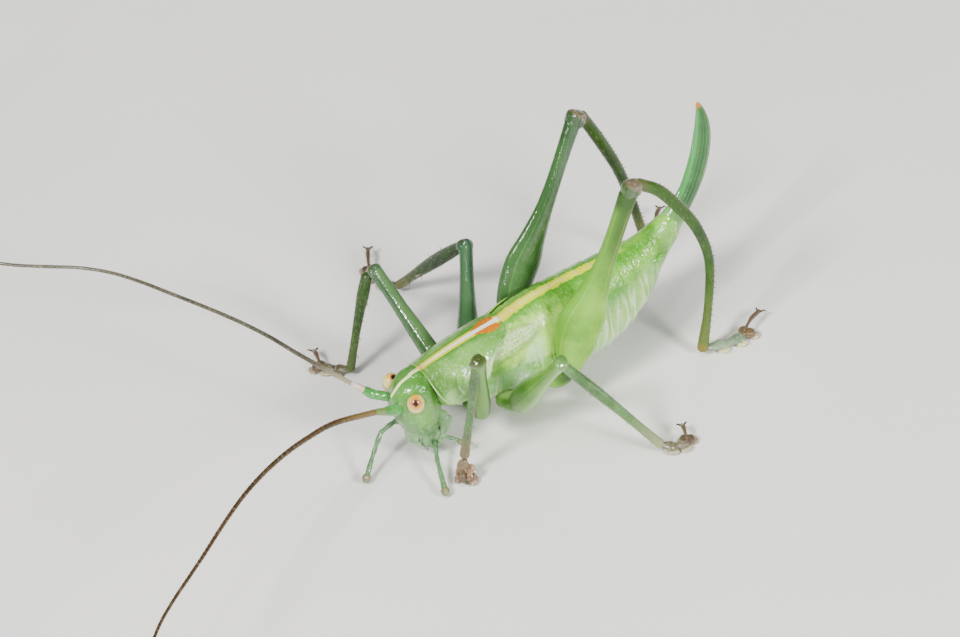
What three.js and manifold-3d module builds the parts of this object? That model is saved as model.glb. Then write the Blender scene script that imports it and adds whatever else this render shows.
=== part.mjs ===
// An oak bush cricket, a long horned grasshopper: an adult female at life size, standing.
// Millimetres, +Z up. The animal faces -Y and its left side is +X. While it is built, the
// origin is on the floor below the front edge of the pronotum; the finished group is then
// moved so that the origin is at the middle of the bottom of its box.
import * as THREE from 'three';
import { mergeVertices } from 'three/addons/utils/BufferGeometryUtils.js';
import Module from 'manifold-3d';

const wasm = await Module();
wasm.setup();

// Driving dimensions.
const jointGap = 0.04; // clearance between neighbouring solids
const pronotumLength = 4.25;
const eyeRadius = 0.43;
const eyeSpread = 0.95; // each eye's centre from the middle plane
const feelerThickness = 0.46; // the flagellum is thinner in life, this is its carrying solid
const palpThickness = 0.4;
const tibiaThickness = 0.52;
const soleDepth = 0.06; // how far the feet are cut flat

const left = 1;
const right = -1;
const up = new THREE.Vector3(0, 0, 1);
const forward = new THREE.Vector3(0, -1, 0);

const v = (x, y, z) => new THREE.Vector3(x, y, z);
const mirrored = (point, side) => v(point.x * side, point.y, point.z);

const finishes = {
  head: ['#86b98f', 0.35],
  eye: ['#e9c795', 0.2],
  mouth: ['#b9bfae', 0.4],
  palp: ['#8fbf8a', 0.35],
  antenna: ['#8a7f63', 0.5],
  scape: ['#63b58a', 0.35],
  pronotum: ['#7fae4c', 0.3],
  body: ['#a5cc7a', 0.4],
  wing: ['#c9d9a4', 0.4],
  leg: ['#86a862', 0.35],
  tarsus: ['#c9a58e', 0.45],
  ovipositor: ['#6fc08b', 0.3],
};

const grasshopper = new THREE.Group();
grasshopper.name = 'long_horned_grasshopper';

// Solids: a closed geometry becomes one that can be joined and cut, and comes back as a mesh.

function solid(geometry) {
  const bare = geometry.clone();
  bare.deleteAttribute('normal');
  bare.deleteAttribute('uv');
  const merged = mergeVertices(bare, 1e-4);
  const index = merged.index.array;
  const faces = [];
  for (let i = 0; i < index.length; i += 3) {
    const [a, b, c] = [index[i], index[i + 1], index[i + 2]];
    if (a !== b && b !== c && c !== a) faces.push(a, b, c);
  }
  const mesh = new wasm.Mesh({
    numProp: 3,
    vertProperties: merged.attributes.position.array,
    triVerts: new Uint32Array(faces),
  });
  return new wasm.Manifold(mesh);
}

function geometryOf(manifold) {
  const mesh = manifold.getMesh();
  const geometry = new THREE.BufferGeometry();
  geometry.setAttribute('position', new THREE.BufferAttribute(mesh.vertProperties, 3));
  geometry.setIndex(new THREE.BufferAttribute(mesh.triVerts, 1));
  geometry.computeVertexNormals();
  return geometry;
}

// The same solid with every vertex moved out along its normal, to cut a neighbour with a gap.
function grown(manifold, distance) {
  const geometry = geometryOf(manifold);
  const position = geometry.attributes.position;
  const normal = geometry.attributes.normal;
  for (let i = 0; i < position.count; i++) {
    position.setXYZ(
      i,
      position.getX(i) + normal.getX(i) * distance,
      position.getY(i) + normal.getY(i) * distance,
      position.getZ(i) + normal.getZ(i) * distance,
    );
  }
  return solid(geometry);
}

function largest(manifold) {
  return manifold.decompose().sort((a, b) => b.volume() - a.volume())[0];
}

// A piece less its neighbours, with the joint gap, and without any sliver cut loose.
function trimmed(piece, ...neighbours) {
  let result = piece;
  for (const neighbour of neighbours) result = result.subtract(grown(neighbour, jointGap));
  return largest(result);
}

function add(name, finish, manifold) {
  const [color, roughness] = finishes[finish];
  const material = new THREE.MeshStandardMaterial({ color, roughness, metalness: 0 });
  const mesh = new THREE.Mesh(geometryOf(manifold), material);
  mesh.name = name;
  grasshopper.add(mesh);
  return manifold;
}

// Values given at even steps from 0 to 1, read smoothly in between.
function eased(values) {
  const curve = new THREE.SplineCurve(values.map((value, i) => new THREE.Vector2(i, value)));
  return (t) => curve.getPoint(t).y;
}

// A round-ended rod bent along the points. width and depth are half sizes at even steps along
// it; depth is measured in the plane of the rod and the upright direction.
function rod(points, width, depth = width, { sides = 8, rings = 5, upright = up } = {}) {
  const curve = new THREE.CatmullRomCurve3(points, false, 'centripetal');
  const geometry = new THREE.CapsuleGeometry(1, 1, 2, sides, rings);
  const position = geometry.attributes.position;
  const [halfWidth, halfDepth] = [eased(width), eased(depth)];
  for (let i = 0; i < position.count; i++) {
    const [x, y, z] = [position.getX(i), position.getY(i), position.getZ(i)];
    const t = THREE.MathUtils.clamp(y + 0.5, 0, 1);
    const [a, b] = [halfWidth(t), halfDepth(t)];
    const tangent = curve.getTangentAt(t);
    const side = upright.clone().cross(tangent).normalize();
    const under = side.clone().cross(tangent);
    const place = curve
      .getPointAt(t)
      .addScaledVector(tangent, (y + 0.5 - t) * Math.min(a, b))
      .addScaledVector(side, x * a)
      .addScaledVector(under, z * b);
    position.setXYZ(i, place.x, place.y, place.z);
  }
  return solid(geometry);
}

// A barrel along the body with flat ends. A station is [y, top, bottom, half width], and
// squareness above 1 fills the section's corners.
function barrel(stations, { sides = 14, rings = 6, squareness = 1.1 } = {}) {
  const [along, top, bottom, half] = [0, 1, 2, 3].map((k) => eased(stations.map((s) => s[k])));
  const geometry = new THREE.CylinderGeometry(1, 1, 1, sides, rings);
  const position = geometry.attributes.position;
  const full = (c) => Math.sign(c) * Math.abs(c) ** (1 / squareness);
  for (let i = 0; i < position.count; i++) {
    const [x, y, z] = [position.getX(i), position.getY(i), position.getZ(i)];
    const t = y + 0.5;
    const middle = (top(t) + bottom(t)) / 2;
    const depth = (top(t) - bottom(t)) / 2;
    position.setXYZ(i, full(x) * half(t), along(t), middle + full(z) * depth);
  }
  return solid(geometry);
}

// An outline in the side view, [y, z] points joined smoothly, as a slab across the body.
function slab(outline, fromX, toX) {
  const points = outline.map(([y, z]) => new THREE.Vector2(y, z));
  const shape = new THREE.Shape().setFromPoints(points);
  const geometry = new THREE.ExtrudeGeometry(shape, { depth: toX - fromX, bevelEnabled: false });
  const axes = new THREE.Matrix4().makeBasis(v(0, 1, 0), v(0, 0, 1), v(1, 0, 0));
  geometry.applyMatrix4(axes).translate(fromX, 0, 0);
  return solid(geometry);
}

// Everything above the floor.
function aboveFloor(manifold) {
  const box = new THREE.BoxGeometry(120, 120, 20).translate(0, 0, -10);
  return manifold.subtract(solid(box));
}

// Head: upright, its level sections given from the crown down as
// [height, front, back, half width].

const headSections = [
  [4.72, -0.55, 0.2, 0.3],
  [4.5, -1.05, 0.5, 0.78],
  [4.1, -1.4, 0.62, 1.02],
  [3.5, -1.56, 0.6, 1.14],
  [2.9, -1.5, 0.72, 1.14],
  [2.3, -1.34, 0.74, 1.06],
  [1.75, -1.12, 0.52, 0.92],
  [1.3, -0.92, 0.25, 0.7],
];

function headSolid() {
  const [height, front, back, half] = [0, 1, 2, 3].map((k) =>
    eased(headSections.map((s) => s[k])),
  );
  const geometry = new THREE.CapsuleGeometry(1, 1, 2, 14, 6);
  const position = geometry.attributes.position;
  for (let i = 0; i < position.count; i++) {
    const [x, y, z] = [position.getX(i), position.getY(i), position.getZ(i)];
    const t = THREE.MathUtils.clamp(0.5 - y, 0, 1);
    const middle = (front(t) + back(t)) / 2;
    const depth = (back(t) - front(t)) / 2;
    const level = height(t) + (y - (0.5 - t)) * 0.08;
    position.setXYZ(i, x * half(t), middle - z * depth, level);
  }
  return solid(geometry);
}

const fastigium = rod([v(0, -1.0, 4.2), v(0, -1.62, 4.02)], [0.3, 0.16], [0.25, 0.14]);
const head = headSolid().add(fastigium);

const eyes = [left, right].map((side) => {
  const ball = new THREE.SphereGeometry(eyeRadius, 10, 7);
  return solid(ball.translate(side * eyeSpread, -0.88, 3.92));
});

const labrum = rod(
  [v(0, -0.86, 1.5), v(0, -0.62, 0.92), v(0, -0.3, 0.44)],
  [0.56, 0.54, 0.36],
  [0.2, 0.22, 0.14],
  { upright: forward },
);
const jaws = rod(
  [v(0, -0.3, 1.5), v(0, -0.12, 1.05), v(0, 0.02, 0.62)],
  [0.72, 0.66, 0.42],
  [0.5, 0.42, 0.3],
  { rings: 2, upright: forward },
);
const mouthparts = [left, right].reduce((whole, side) => {
  const maxilla = [v(0.72, 0.5, 2.35), v(0.62, 0.42, 1.6), v(0.4, 0.1, 1.0)];
  const lobe = maxilla.map((p) => mirrored(p, side));
  return whole.add(rod(lobe, [0.24, 0.28, 0.2], undefined, { sides: 6, rings: 2 }));
}, jaws);

// Pronotum: a saddle over the thorax, with a rounded lobe down each side.

const pronotumStations = [
  [0, 4.78, 1.6, 1.28],
  [pronotumLength / 3, 4.98, 1.5, 1.48],
  [(pronotumLength * 2) / 3, 5.1, 1.5, 1.58],
  [pronotumLength, 5.22, 1.4, 1.55],
];
const pronotumOutline = [
  [-0.1, 5.6],
  [-0.02, 4.6],
  [0.18, 3.9],
  [0.42, 3.42],
  [0.8, 3.18],
  [1.5, 3.14],
  [2.2, 3.24],
  [2.8, 3.6],
  [3.3, 4.15],
  [3.9, 4.6],
  [4.4, 5.0],
  [4.4, 5.6],
];
const thoraxStations = [
  [0.35, 4.42, 2.5, 0.85],
  [1.8, 4.62, 1.65, 1.16],
  [3.4, 4.8, 1.35, 1.3],
  [4.9, 5.0, 1.15, 1.5],
];
const thorax = trimmed(barrel(thoraxStations), head);
const pronotum = trimmed(
  barrel(pronotumStations, { rings: 4, sides: 16 }).intersect(slab(pronotumOutline, -3, 3)),
  thorax,
  head,
);

// Abdomen: three lengths of one deep barrel, then the tip that carries the ovipositor.

const abdomenStations = [
  [4.95, 5.3, 1.15, 1.5],
  [6.4, 5.4, 1.0, 1.6],
  [7.85, 5.37, 0.9, 1.62],
  [9.3, 5.3, 1.05, 1.52],
  [10.75, 5.3, 1.8, 1.24],
  [12.2, 5.6, 3.05, 0.86],
];
const abdomenCuts = [4.95, 7.2, 9.45, 11.2];
const abdomen = barrel(abdomenStations, { rings: 9 });
const abdomenNames = ['abdomen_front', 'abdomen_middle', 'abdomen_rear'];
const abdomenPieces = abdomenNames.map((name, i) => {
  const [from, to] = [abdomenCuts[i], abdomenCuts[i + 1] - jointGap / 2];
  const slice = new THREE.BoxGeometry(6, to - from, 9).translate(0, (from + to) / 2, 4);
  return abdomen.intersect(solid(slice));
});
const tipStations = [
  [11.2, 5.36, 2.2, 1.14],
  [11.7, 5.46, 2.75, 0.98],
  [12.2, 5.62, 3.15, 0.84],
  [12.7, 5.84, 3.55, 0.68],
];
const abdomenTip = barrel(tipStations, { rings: 5 });
const subgenitalPlate = trimmed(
  rod([v(0, 10.75, 1.9), v(0, 11.35, 2.35), v(0, 11.85, 2.85)], [0.5, 0.62, 0.3], [0.16, 0.28, 0.14]),
  ...abdomenPieces,
  abdomenTip,
);

// Ovipositor: a blade that narrows from the tip's depth and sweeps up in an arc. Each station
// is [point on the middle line, half width of the blade, half thickness].

const bladeStations = [
  [v(0, 12.55, 4.7), 1.02, 0.56],
  [v(-0.03, 13.2, 5.0), 0.82, 0.42],
  [v(-0.1, 13.97, 5.52), 0.6, 0.32],
  [v(-0.17, 14.72, 6.26), 0.56, 0.27],
  [v(-0.26, 15.32, 7.1), 0.58, 0.25],
  [v(-0.36, 15.74, 7.98), 0.53, 0.25],
  [v(-0.47, 16.0, 8.86), 0.42, 0.25],
  [v(-0.55, 16.07, 9.72), 0.18, 0.16],
];
const blade = rod(
  bladeStations.map((s) => s[0]),
  bladeStations.map((s) => s[2]),
  bladeStations.map((s) => s[1]),
  { sides: 8, rings: 10 },
);
const ovipositor = trimmed(blade, abdomenTip);
const cerci = [left, right].map((side) => {
  const points = [v(0.5, 11.5, 4.8), v(1.05, 11.95, 5.0), v(1.2, 12.7, 5.25)];
  const cone = rod(points.map((p) => mirrored(p, side)), [0.24, 0.22, 0.1]);
  return trimmed(cone, abdomenTip, ovipositor, abdomenPieces[2]);
});

// Wings: short scale-like pads that lie on the flank behind the pronotum.

const wingOutline = [
  [3.3, 4.62],
  [3.6, 3.95],
  [4.4, 3.62],
  [5.3, 3.72],
  [5.95, 4.1],
  [6.05, 4.5],
  [5.6, 4.74],
  [4.4, 4.82],
];
const wingStations = [
  [3.0, 5.2, 0.8, 1.66],
  [4.2, 5.3, 0.8, 1.78],
  [5.4, 5.42, 0.8, 1.86],
  [6.6, 5.5, 0.8, 1.9],
];
const wingShell = barrel(wingStations, { sides: 16, rings: 3 });
const wings = [left, right].map((side) => {
  const slabSpan = side === left ? [0.4, 3] : [-3, -0.4];
  return trimmed(wingShell.intersect(slab(wingOutline, ...slabSpan)), pronotum, thorax, abdomen);
});

// Legs. The coxa runs from its root in the thorax to the hip, the shin from knee to ankle, and
// the toe points on along the floor: heel pad, toe pad and the claws' reach. A femur is deepest
// near its swell, which stands a little forward of the straight line.

const femurShapes = {
  front: {
    depths: [0.42, 0.46, 0.4, 0.34, 0.33],
    widths: [0.34, 0.34, 0.3, 0.27, 0.28],
    swell: 0.02,
  },
  middle: {
    depths: [0.48, 0.5, 0.4, 0.32, 0.32],
    widths: [0.34, 0.34, 0.3, 0.28, 0.28],
    swell: 0,
  },
  hind: {
    depths: [0.62, 0.92, 0.99, 0.68, 0.45, 0.34, 0.38],
    widths: [0.42, 0.52, 0.5, 0.42, 0.34, 0.3, 0.32],
    swell: 0.2,
  },
};
const legs = {
  front_left: {
    pair: 'front',
    root: v(0.75, 1.6, 2.65),
    hip: v(1.58, 1.85, 2.13),
    knee: v(3.82, 0.86, 7.01),
    shin: [v(2.57, 0.16, 1.5)],
    toes: [v(2.56, 0.12, 1.0), v(2.6, 0.02, 0.26), v(2.84, -0.18, 0.22)],
  },
  middle_left: {
    pair: 'middle',
    root: v(0.8, 3.55, 2.2),
    hip: v(1.66, 3.6, 1.72),
    knee: v(5.01, 4.01, 5.83),
    shin: [v(5.95, 5.85, 2.9), v(6.72, 7.3, 0.5)],
    toes: [v(7.1, 7.78, 0.24), v(7.22, 8.36, 0.24), v(6.45, 8.72, 0.22)],
  },
  hind_left: {
    pair: 'hind',
    root: v(0.9, 5.4, 2.05),
    hip: v(1.85, 6.02, 1.87),
    knee: v(3.74, 9.44, 11.65),
    shin: [
      v(3.62, 11.33, 9.98),
      v(3.46, 12.54, 7.73),
      v(3.28, 13.1, 5.3),
      v(3.1, 12.87, 2.68),
      v(2.94, 12.44, 0.52),
    ],
    toes: [v(3.08, 13.16, 0.24), v(3.3, 14.25, 0.24), v(2.75, 15.7, 0.22)],
  },
  front_right: {
    pair: 'front',
    root: v(-0.72, 1.9, 2.65),
    hip: v(-1.5, 2.15, 2.2),
    knee: v(-5.8, 1.87, 5.63),
    shin: [v(-6.3, 1.0, 2.8), v(-6.57, 0.26, 0.52)],
    toes: [v(-7.25, -0.12, 0.24), v(-7.95, -0.58, 0.24), v(-8.7, -0.3, 0.22)],
  },
  middle_right: {
    pair: 'middle',
    root: v(-0.8, 3.35, 2.3),
    hip: v(-1.65, 3.4, 2.0),
    knee: v(-5.21, 6.17, 4.93),
    shin: [v(-7.6, 5.65, 2.7), v(-9.8, 5.06, 0.5)],
    toes: [v(-10.7, 5.1, 0.24), v(-11.9, 5.26, 0.24), v(-12.8, 5.42, 0.22)],
  },
  hind_right: {
    pair: 'hind',
    root: v(-0.9, 5.1, 2.3),
    hip: v(-1.8, 5.35, 2.5),
    knee: v(-2.26, 10.79, 11.24),
    shin: [
      v(-2.6, 11.98, 9.3),
      v(-2.93, 12.78, 7.25),
      v(-3.45, 13.7, 4.1),
      v(-4.03, 14.6, 0.52),
    ],
    toes: [v(-4.6, 15.05, 0.24), v(-5.4, 15.95, 0.24), v(-6.15, 16.75, 0.22)],
  },
};

const flank = [thorax, pronotum, ...abdomenPieces];

function leg({ pair, root, hip, knee, shin, toes }) {
  const { depths, widths, swell } = femurShapes[pair];
  const long = pair === 'hind';
  const along = (t) => hip.clone().lerp(knee, t);
  const line = [along(0.07), along(0.27).add(v(0, -swell, swell / 3)), along(0.6), along(0.98)];
  const thigh = rod(line, widths, depths, { rings: long ? 8 : 4 });
  const femur = trimmed(thigh, ...flank);
  const coxa = trimmed(rod([root, hip], [0.52, 0.44], [0.62, 0.46], { rings: 2 }), thigh, ...flank);
  const thin = tibiaThickness / 2;
  const shinLine = [knee.clone().lerp(shin[0], 0.02), ...shin];
  const shinRod = rod(shinLine, [0.3, thin, thin, thin, 0.28], undefined, {
    sides: 7,
    rings: long ? 8 : 3,
    upright: forward,
  });
  const tibia = trimmed(shinRod, thigh);
  const ankle = shin[shin.length - 1];
  const [heelPad, toePad, claws] = toes;
  const sole = (from, to, width, depth) => rod([from, to], width, [depth, depth], { sides: 6, rings: 1 });
  const heel = sole(ankle.clone().lerp(heelPad, 0.3), heelPad, [0.24, 0.27], 0.24);
  const pad = sole(heelPad, toePad, [0.25, 0.36], 0.24 + soleDepth);
  const clawRod = sole(toePad, claws, [0.25, 0.25], 0.24);
  const tarsus = trimmed(aboveFloor(heel.add(pad).add(clawRod)), tibia);
  return { coxa, femur, tibia, tarsus };
}

// Feelers. The scape is the thick base, and the flagellum follows in four lengths.

const feelers = {
  left: {
    scape: [v(0.42, -1.5, 3.6), v(0.58, -2.2, 4.05), v(0.64, -2.62, 4.32)],
    whip: [
      v(0.65, -2.72, 4.38),
      v(0.5, -4.4, 4.8),
      v(1.2, -7.4, 5.32),
      v(2.35, -10.15, 5.57),
      v(4.75, -13.9, 5.82),
      v(7.86, -18.2, 6.2),
      v(11.6, -20.9, 6.5),
      v(16.2, -21.4, 6.6),
      v(20.4, -19.4, 6.4),
      v(23.2, -15.6, 6.0),
      v(24.2, -11.4, 5.4),
    ],
  },
  right: {
    scape: [v(-0.42, -1.42, 3.78), v(-0.75, -2.05, 4.2), v(-0.98, -2.34, 4.42)],
    whip: [
      v(-1.06, -2.42, 4.5),
      v(-3.7, -3.27, 4.95),
      v(-6.62, -3.94, 5.18),
      v(-10.39, -5.39, 5.53),
      v(-13.94, -7.06, 5.8),
      v(-17.05, -10.34, 6.2),
      v(-20.6, -13.1, 7.0),
      v(-24.7, -13.9, 8.1),
      v(-28.2, -12.2, 9.1),
      v(-30.3, -8.7, 9.9),
      v(-31.0, -5.0, 10.4),
    ],
  },
};
const whipLengths = ['base', 'inner', 'outer', 'tip'];

function feeler({ scape, whip }) {
  const thick = feelerThickness / 2;
  const base = trimmed(rod(scape, [0.25, 0.25, 0.23]), head);
  const route = new THREE.CatmullRomCurve3(whip, false, 'centripetal');
  const shrink = thick + jointGap / 2;
  const total = route.getLength();
  const lengths = whipLengths.map((name, i) => {
    const from = i / whipLengths.length + shrink / total;
    const to = (i + 1) / whipLengths.length - shrink / total;
    const points = [];
    const steps = 6;
    for (let k = 0; k <= steps; k++) points.push(route.getPointAt(from + ((to - from) * k) / steps));
    const whipRod = rod(points, [thick, thick], undefined, { sides: 6, rings: 6 });
    return i === 0 ? trimmed(whipRod, base) : whipRod;
  });
  return { base, lengths };
}

// Palps: the long pair feels the floor, the short pair hangs beside the mouth.

const palpRoutes = {
  maxillary_palp_left: [v(0.62, -0.2, 1.1), v(1.45, -0.6, 0.84), v(2.2, -0.93, 0.42), v(2.82, -1.2, 0.27)],
  maxillary_palp_right: [
    v(-0.6, -0.3, 1.25),
    v(-1.0, -1.0, 1.72),
    v(-0.95, -1.76, 1.6),
    v(-0.74, -2.38, 1.02),
    v(-0.22, -3.28, 0.28),
  ],
  labial_palp_left: [v(0.5, 0.3, 1.2), v(0.9, 0.6, 1.05), v(1.28, 0.85, 0.9)],
  labial_palp_right: [v(-0.5, 0.3, 1.2), v(-0.85, 0.62, 0.9), v(-1.05, 0.9, 0.55)],
};

// Assembly.

const legSolids = Object.fromEntries(Object.entries(legs).map(([name, data]) => [name, leg(data)]));
const thighs = Object.values(legSolids).map((parts) => parts.femur);
const mouth = trimmed(mouthparts, head, thorax);
const lip = trimmed(labrum, head, mouth);

add('head', 'head', eyes.reduce((skull, eye) => skull.subtract(grown(eye, jointGap)), head));
add('eye_left', 'eye', eyes[0]);
add('eye_right', 'eye', eyes[1]);
add('mouthparts', 'mouth', mouth);
add('labrum', 'mouth', lip);
for (const [name, points] of Object.entries(palpRoutes)) {
  const widths = points.map(() => palpThickness / 2);
  add(name, 'palp', trimmed(aboveFloor(rod(points, widths)), head, mouth, lip, thorax));
}
for (const [name, data] of Object.entries(feelers)) {
  const { base, lengths } = feeler(data);
  add(`antenna_${name}_scape`, 'scape', base);
  lengths.forEach((length, i) => add(`antenna_${name}_${whipLengths[i]}`, 'antenna', length));
}
add('thorax', 'body', thorax);
add('pronotum', 'pronotum', pronotum);
add('wing_left', 'wing', trimmed(wings[0], ...thighs));
add('wing_right', 'wing', trimmed(wings[1], ...thighs));
abdomenNames.forEach((name, i) => add(name, 'body', abdomenPieces[i]));
add('abdomen_tip', 'body', abdomenTip);
add('subgenital_plate', 'body', subgenitalPlate);
add('cercus_left', 'body', cerci[0]);
add('cercus_right', 'body', cerci[1]);
add('ovipositor', 'ovipositor', ovipositor);
for (const [name, parts] of Object.entries(legSolids)) {
  add(`${name}_coxa`, 'leg', parts.coxa);
  add(`${name}_femur`, 'leg', parts.femur);
  add(`${name}_tibia`, 'leg', parts.tibia);
  add(`${name}_tarsus`, 'tarsus', parts.tarsus);
}

const box = new THREE.Box3().setFromObject(grasshopper);
grasshopper.position.set(-(box.min.x + box.max.x) / 2, -(box.min.y + box.max.y) / 2, -box.min.z);

export default grasshopper;
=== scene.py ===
import math
import random
import bpy
import numpy as np
from mathutils import Matrix, Vector


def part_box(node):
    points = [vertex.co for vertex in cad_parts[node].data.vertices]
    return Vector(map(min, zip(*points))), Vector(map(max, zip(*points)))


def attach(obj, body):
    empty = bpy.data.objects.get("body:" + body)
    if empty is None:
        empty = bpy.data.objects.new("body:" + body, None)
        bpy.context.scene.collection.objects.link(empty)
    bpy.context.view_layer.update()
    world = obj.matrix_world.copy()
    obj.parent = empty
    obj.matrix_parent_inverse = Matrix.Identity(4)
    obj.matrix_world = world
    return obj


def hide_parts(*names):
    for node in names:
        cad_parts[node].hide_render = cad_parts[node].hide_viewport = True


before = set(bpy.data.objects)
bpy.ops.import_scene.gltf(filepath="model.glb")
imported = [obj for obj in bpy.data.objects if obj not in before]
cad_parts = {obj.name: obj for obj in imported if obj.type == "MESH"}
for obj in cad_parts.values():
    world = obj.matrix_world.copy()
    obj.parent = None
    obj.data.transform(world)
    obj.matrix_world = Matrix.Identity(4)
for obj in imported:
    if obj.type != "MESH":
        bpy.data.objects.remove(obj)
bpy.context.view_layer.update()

# A short-winged oak bush cricket, an adult female, life size. Shapes are worked out in
# millimetres with the origin on the floor under the pronotum's front edge, -Y ahead and +X the
# animal's left.
pronotumLow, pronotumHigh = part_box("pronotum")
bodyOrigin = np.array([(pronotumLow.x + pronotumHigh.x) / 2, pronotumLow.y, 0.0])
sides = {"left": 1, "right": -1}


def toRow(points):
    return bodyOrigin + np.asarray(points, float) * 0.001


def fromRow(points):
    return (np.asarray(points, float) - bodyOrigin) * 1000


# Lines, and numbers read along them.
def unit(vectors):
    v = np.asarray(vectors, float)
    return v / np.maximum(np.linalg.norm(v, axis=-1, keepdims=True), 1e-9)


def spline(points, count):
    p = np.asarray(points, float)
    if len(p) == 2:
        return p[0] + (p[1] - p[0]) * np.linspace(0, 1, count)[:, None]
    knots = np.concatenate([[0], np.cumsum(np.linalg.norm(np.diff(p, axis=0), axis=1) ** 0.5)])
    slopes = np.gradient(p, knots, axis=0)
    fine = np.linspace(0, knots[-1], count * 12)
    i = np.clip(np.searchsorted(knots, fine, side="right") - 1, 0, len(p) - 2)
    span = (knots[i + 1] - knots[i])[:, None]
    s = ((fine - knots[i]) / span[:, 0])[:, None]
    curve = ((2 * s**3 - 3 * s**2 + 1) * p[i] + (s**3 - 2 * s**2 + s) * span * slopes[i]
             + (3 * s**2 - 2 * s**3) * p[i + 1] + (s**3 - s**2) * span * slopes[i + 1])
    reach = np.concatenate([[0], np.cumsum(np.linalg.norm(np.diff(curve, axis=0), axis=1))])
    even = np.linspace(0, reach[-1], count)
    return np.stack([np.interp(even, reach, curve[:, k]) for k in range(p.shape[1])], axis=1)


def eased(values):  # a function of 0 to 1 through evenly spaced values
    v = np.asarray(values, float)
    if len(v) == 2:
        return lambda t: v[0] + (v[1] - v[0]) * np.asarray(t, float)
    curve = spline(np.stack([np.linspace(0, 1, len(v)), v], axis=1), 160)
    return lambda t: np.interp(t, curve[:, 0], curve[:, 1])


def through(pairs):  # a smooth function through (position, value) pairs
    p = np.asarray(pairs, float)
    slopes = np.gradient(p[:, 1], p[:, 0])

    def read(x):
        x = np.clip(np.asarray(x, float), p[0, 0], p[-1, 0])
        i = np.clip(np.searchsorted(p[:, 0], x, side="right") - 1, 0, len(p) - 2)
        span = p[i + 1, 0] - p[i, 0]
        s = (x - p[i, 0]) / span
        return ((2 * s**3 - 3 * s**2 + 1) * p[i, 1] + (s**3 - 2 * s**2 + s) * span * slopes[i]
                + (3 * s**2 - 2 * s**3) * p[i + 1, 1] + (s**3 - s**2) * span * slopes[i + 1])
    return read


def smoothStep(x, low, high):
    s = np.clip((np.asarray(x, float) - low) / (high - low), 0, 1)
    return s * s * (3 - 2 * s)


def bell(x, middle, reach):
    return np.exp(-(((np.asarray(x, float) - middle) / reach) ** 2))


# The middle line of a CAD node: centres of level cuts across its longest direction, short of its ends.
def middleLine(node, count, startNear):
    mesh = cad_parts[node].data
    points = fromRow([v.co[:] for v in mesh.vertices])
    axis = np.linalg.eigh(np.cov((points - points.mean(0)).T))[1][:, -1]
    edges = np.array([e.vertices[:] for e in mesh.edges])
    along = points @ axis
    a, b = along[edges[:, 0]], along[edges[:, 1]]
    centres = []
    for t in np.linspace(0.04, 0.96, count):
        level = along.min() + (along.max() - along.min()) * t
        cut = (a - level) * (b - level) < 0
        s = ((level - a[cut]) / (b[cut] - a[cut]))[:, None]
        ring = points[edges[cut, 0]] * (1 - s) + points[edges[cut, 1]] * s
        centres.append((ring.max(0) + ring.min(0)) / 2)
    centres = np.array(centres)
    if np.linalg.norm(centres[0] - startNear) > np.linalg.norm(centres[-1] - startNear):
        centres = centres[::-1]
    return centres


# A part is its points, its faces and a place (along, cosine, sine) at each point.
def part(points, faces, place=None):
    points = np.asarray(points, float)
    place = np.zeros((len(points), 3)) if place is None else np.asarray(place, float)
    return {"points": points, "faces": faces, "place": place}


def joined(parts):
    points, faces, place, first = [], [], [], 0
    for p in parts:
        points.append(p["points"])
        place.append(p["place"])
        faces.extend([tuple(i + first for i in f) for f in p["faces"]])
        first += len(p["points"])
    return part(np.concatenate(points), faces, np.concatenate(place))


def gridFaces(rows, columns, closed=True):
    faces = []
    for i in range(rows - 1):
        for j in range(columns if closed else columns - 1):
            k = (j + 1) % columns
            faces.append((i * columns + j, i * columns + k, (i + 1) * columns + k, (i + 1) * columns + j))
    return faces


def facingOut(p):  # turns the faces round where the part came out inside out
    points = p["points"] - p["points"].mean(0)
    corners = np.array([f[:3] for f in p["faces"]])
    a, b, c = (points[corners[:, k]] for k in range(3))
    if (a * np.cross(b, c)).sum() < 0:
        p["faces"] = [f[::-1] for f in p["faces"]]
    return p


def closedGrid(rings, place):  # rings of points, with a point added to close each end
    rows, columns = rings.shape[:2]
    faces = gridFaces(rows, columns)
    points = np.concatenate([rings.reshape(-1, 3), [rings[0].mean(0)], [rings[-1].mean(0)]])
    spots = np.concatenate([place.reshape(-1, 3), [place[0].mean(0)], [place[-1].mean(0)]])
    start, end, last = rows * columns, rows * columns + 1, (rows - 1) * columns
    for j in range(columns):
        k = (j + 1) % columns
        faces.append((start, k, j))
        faces.append((end, last + j, last + k))
    return facingOut(part(points, faces, spots))


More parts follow.
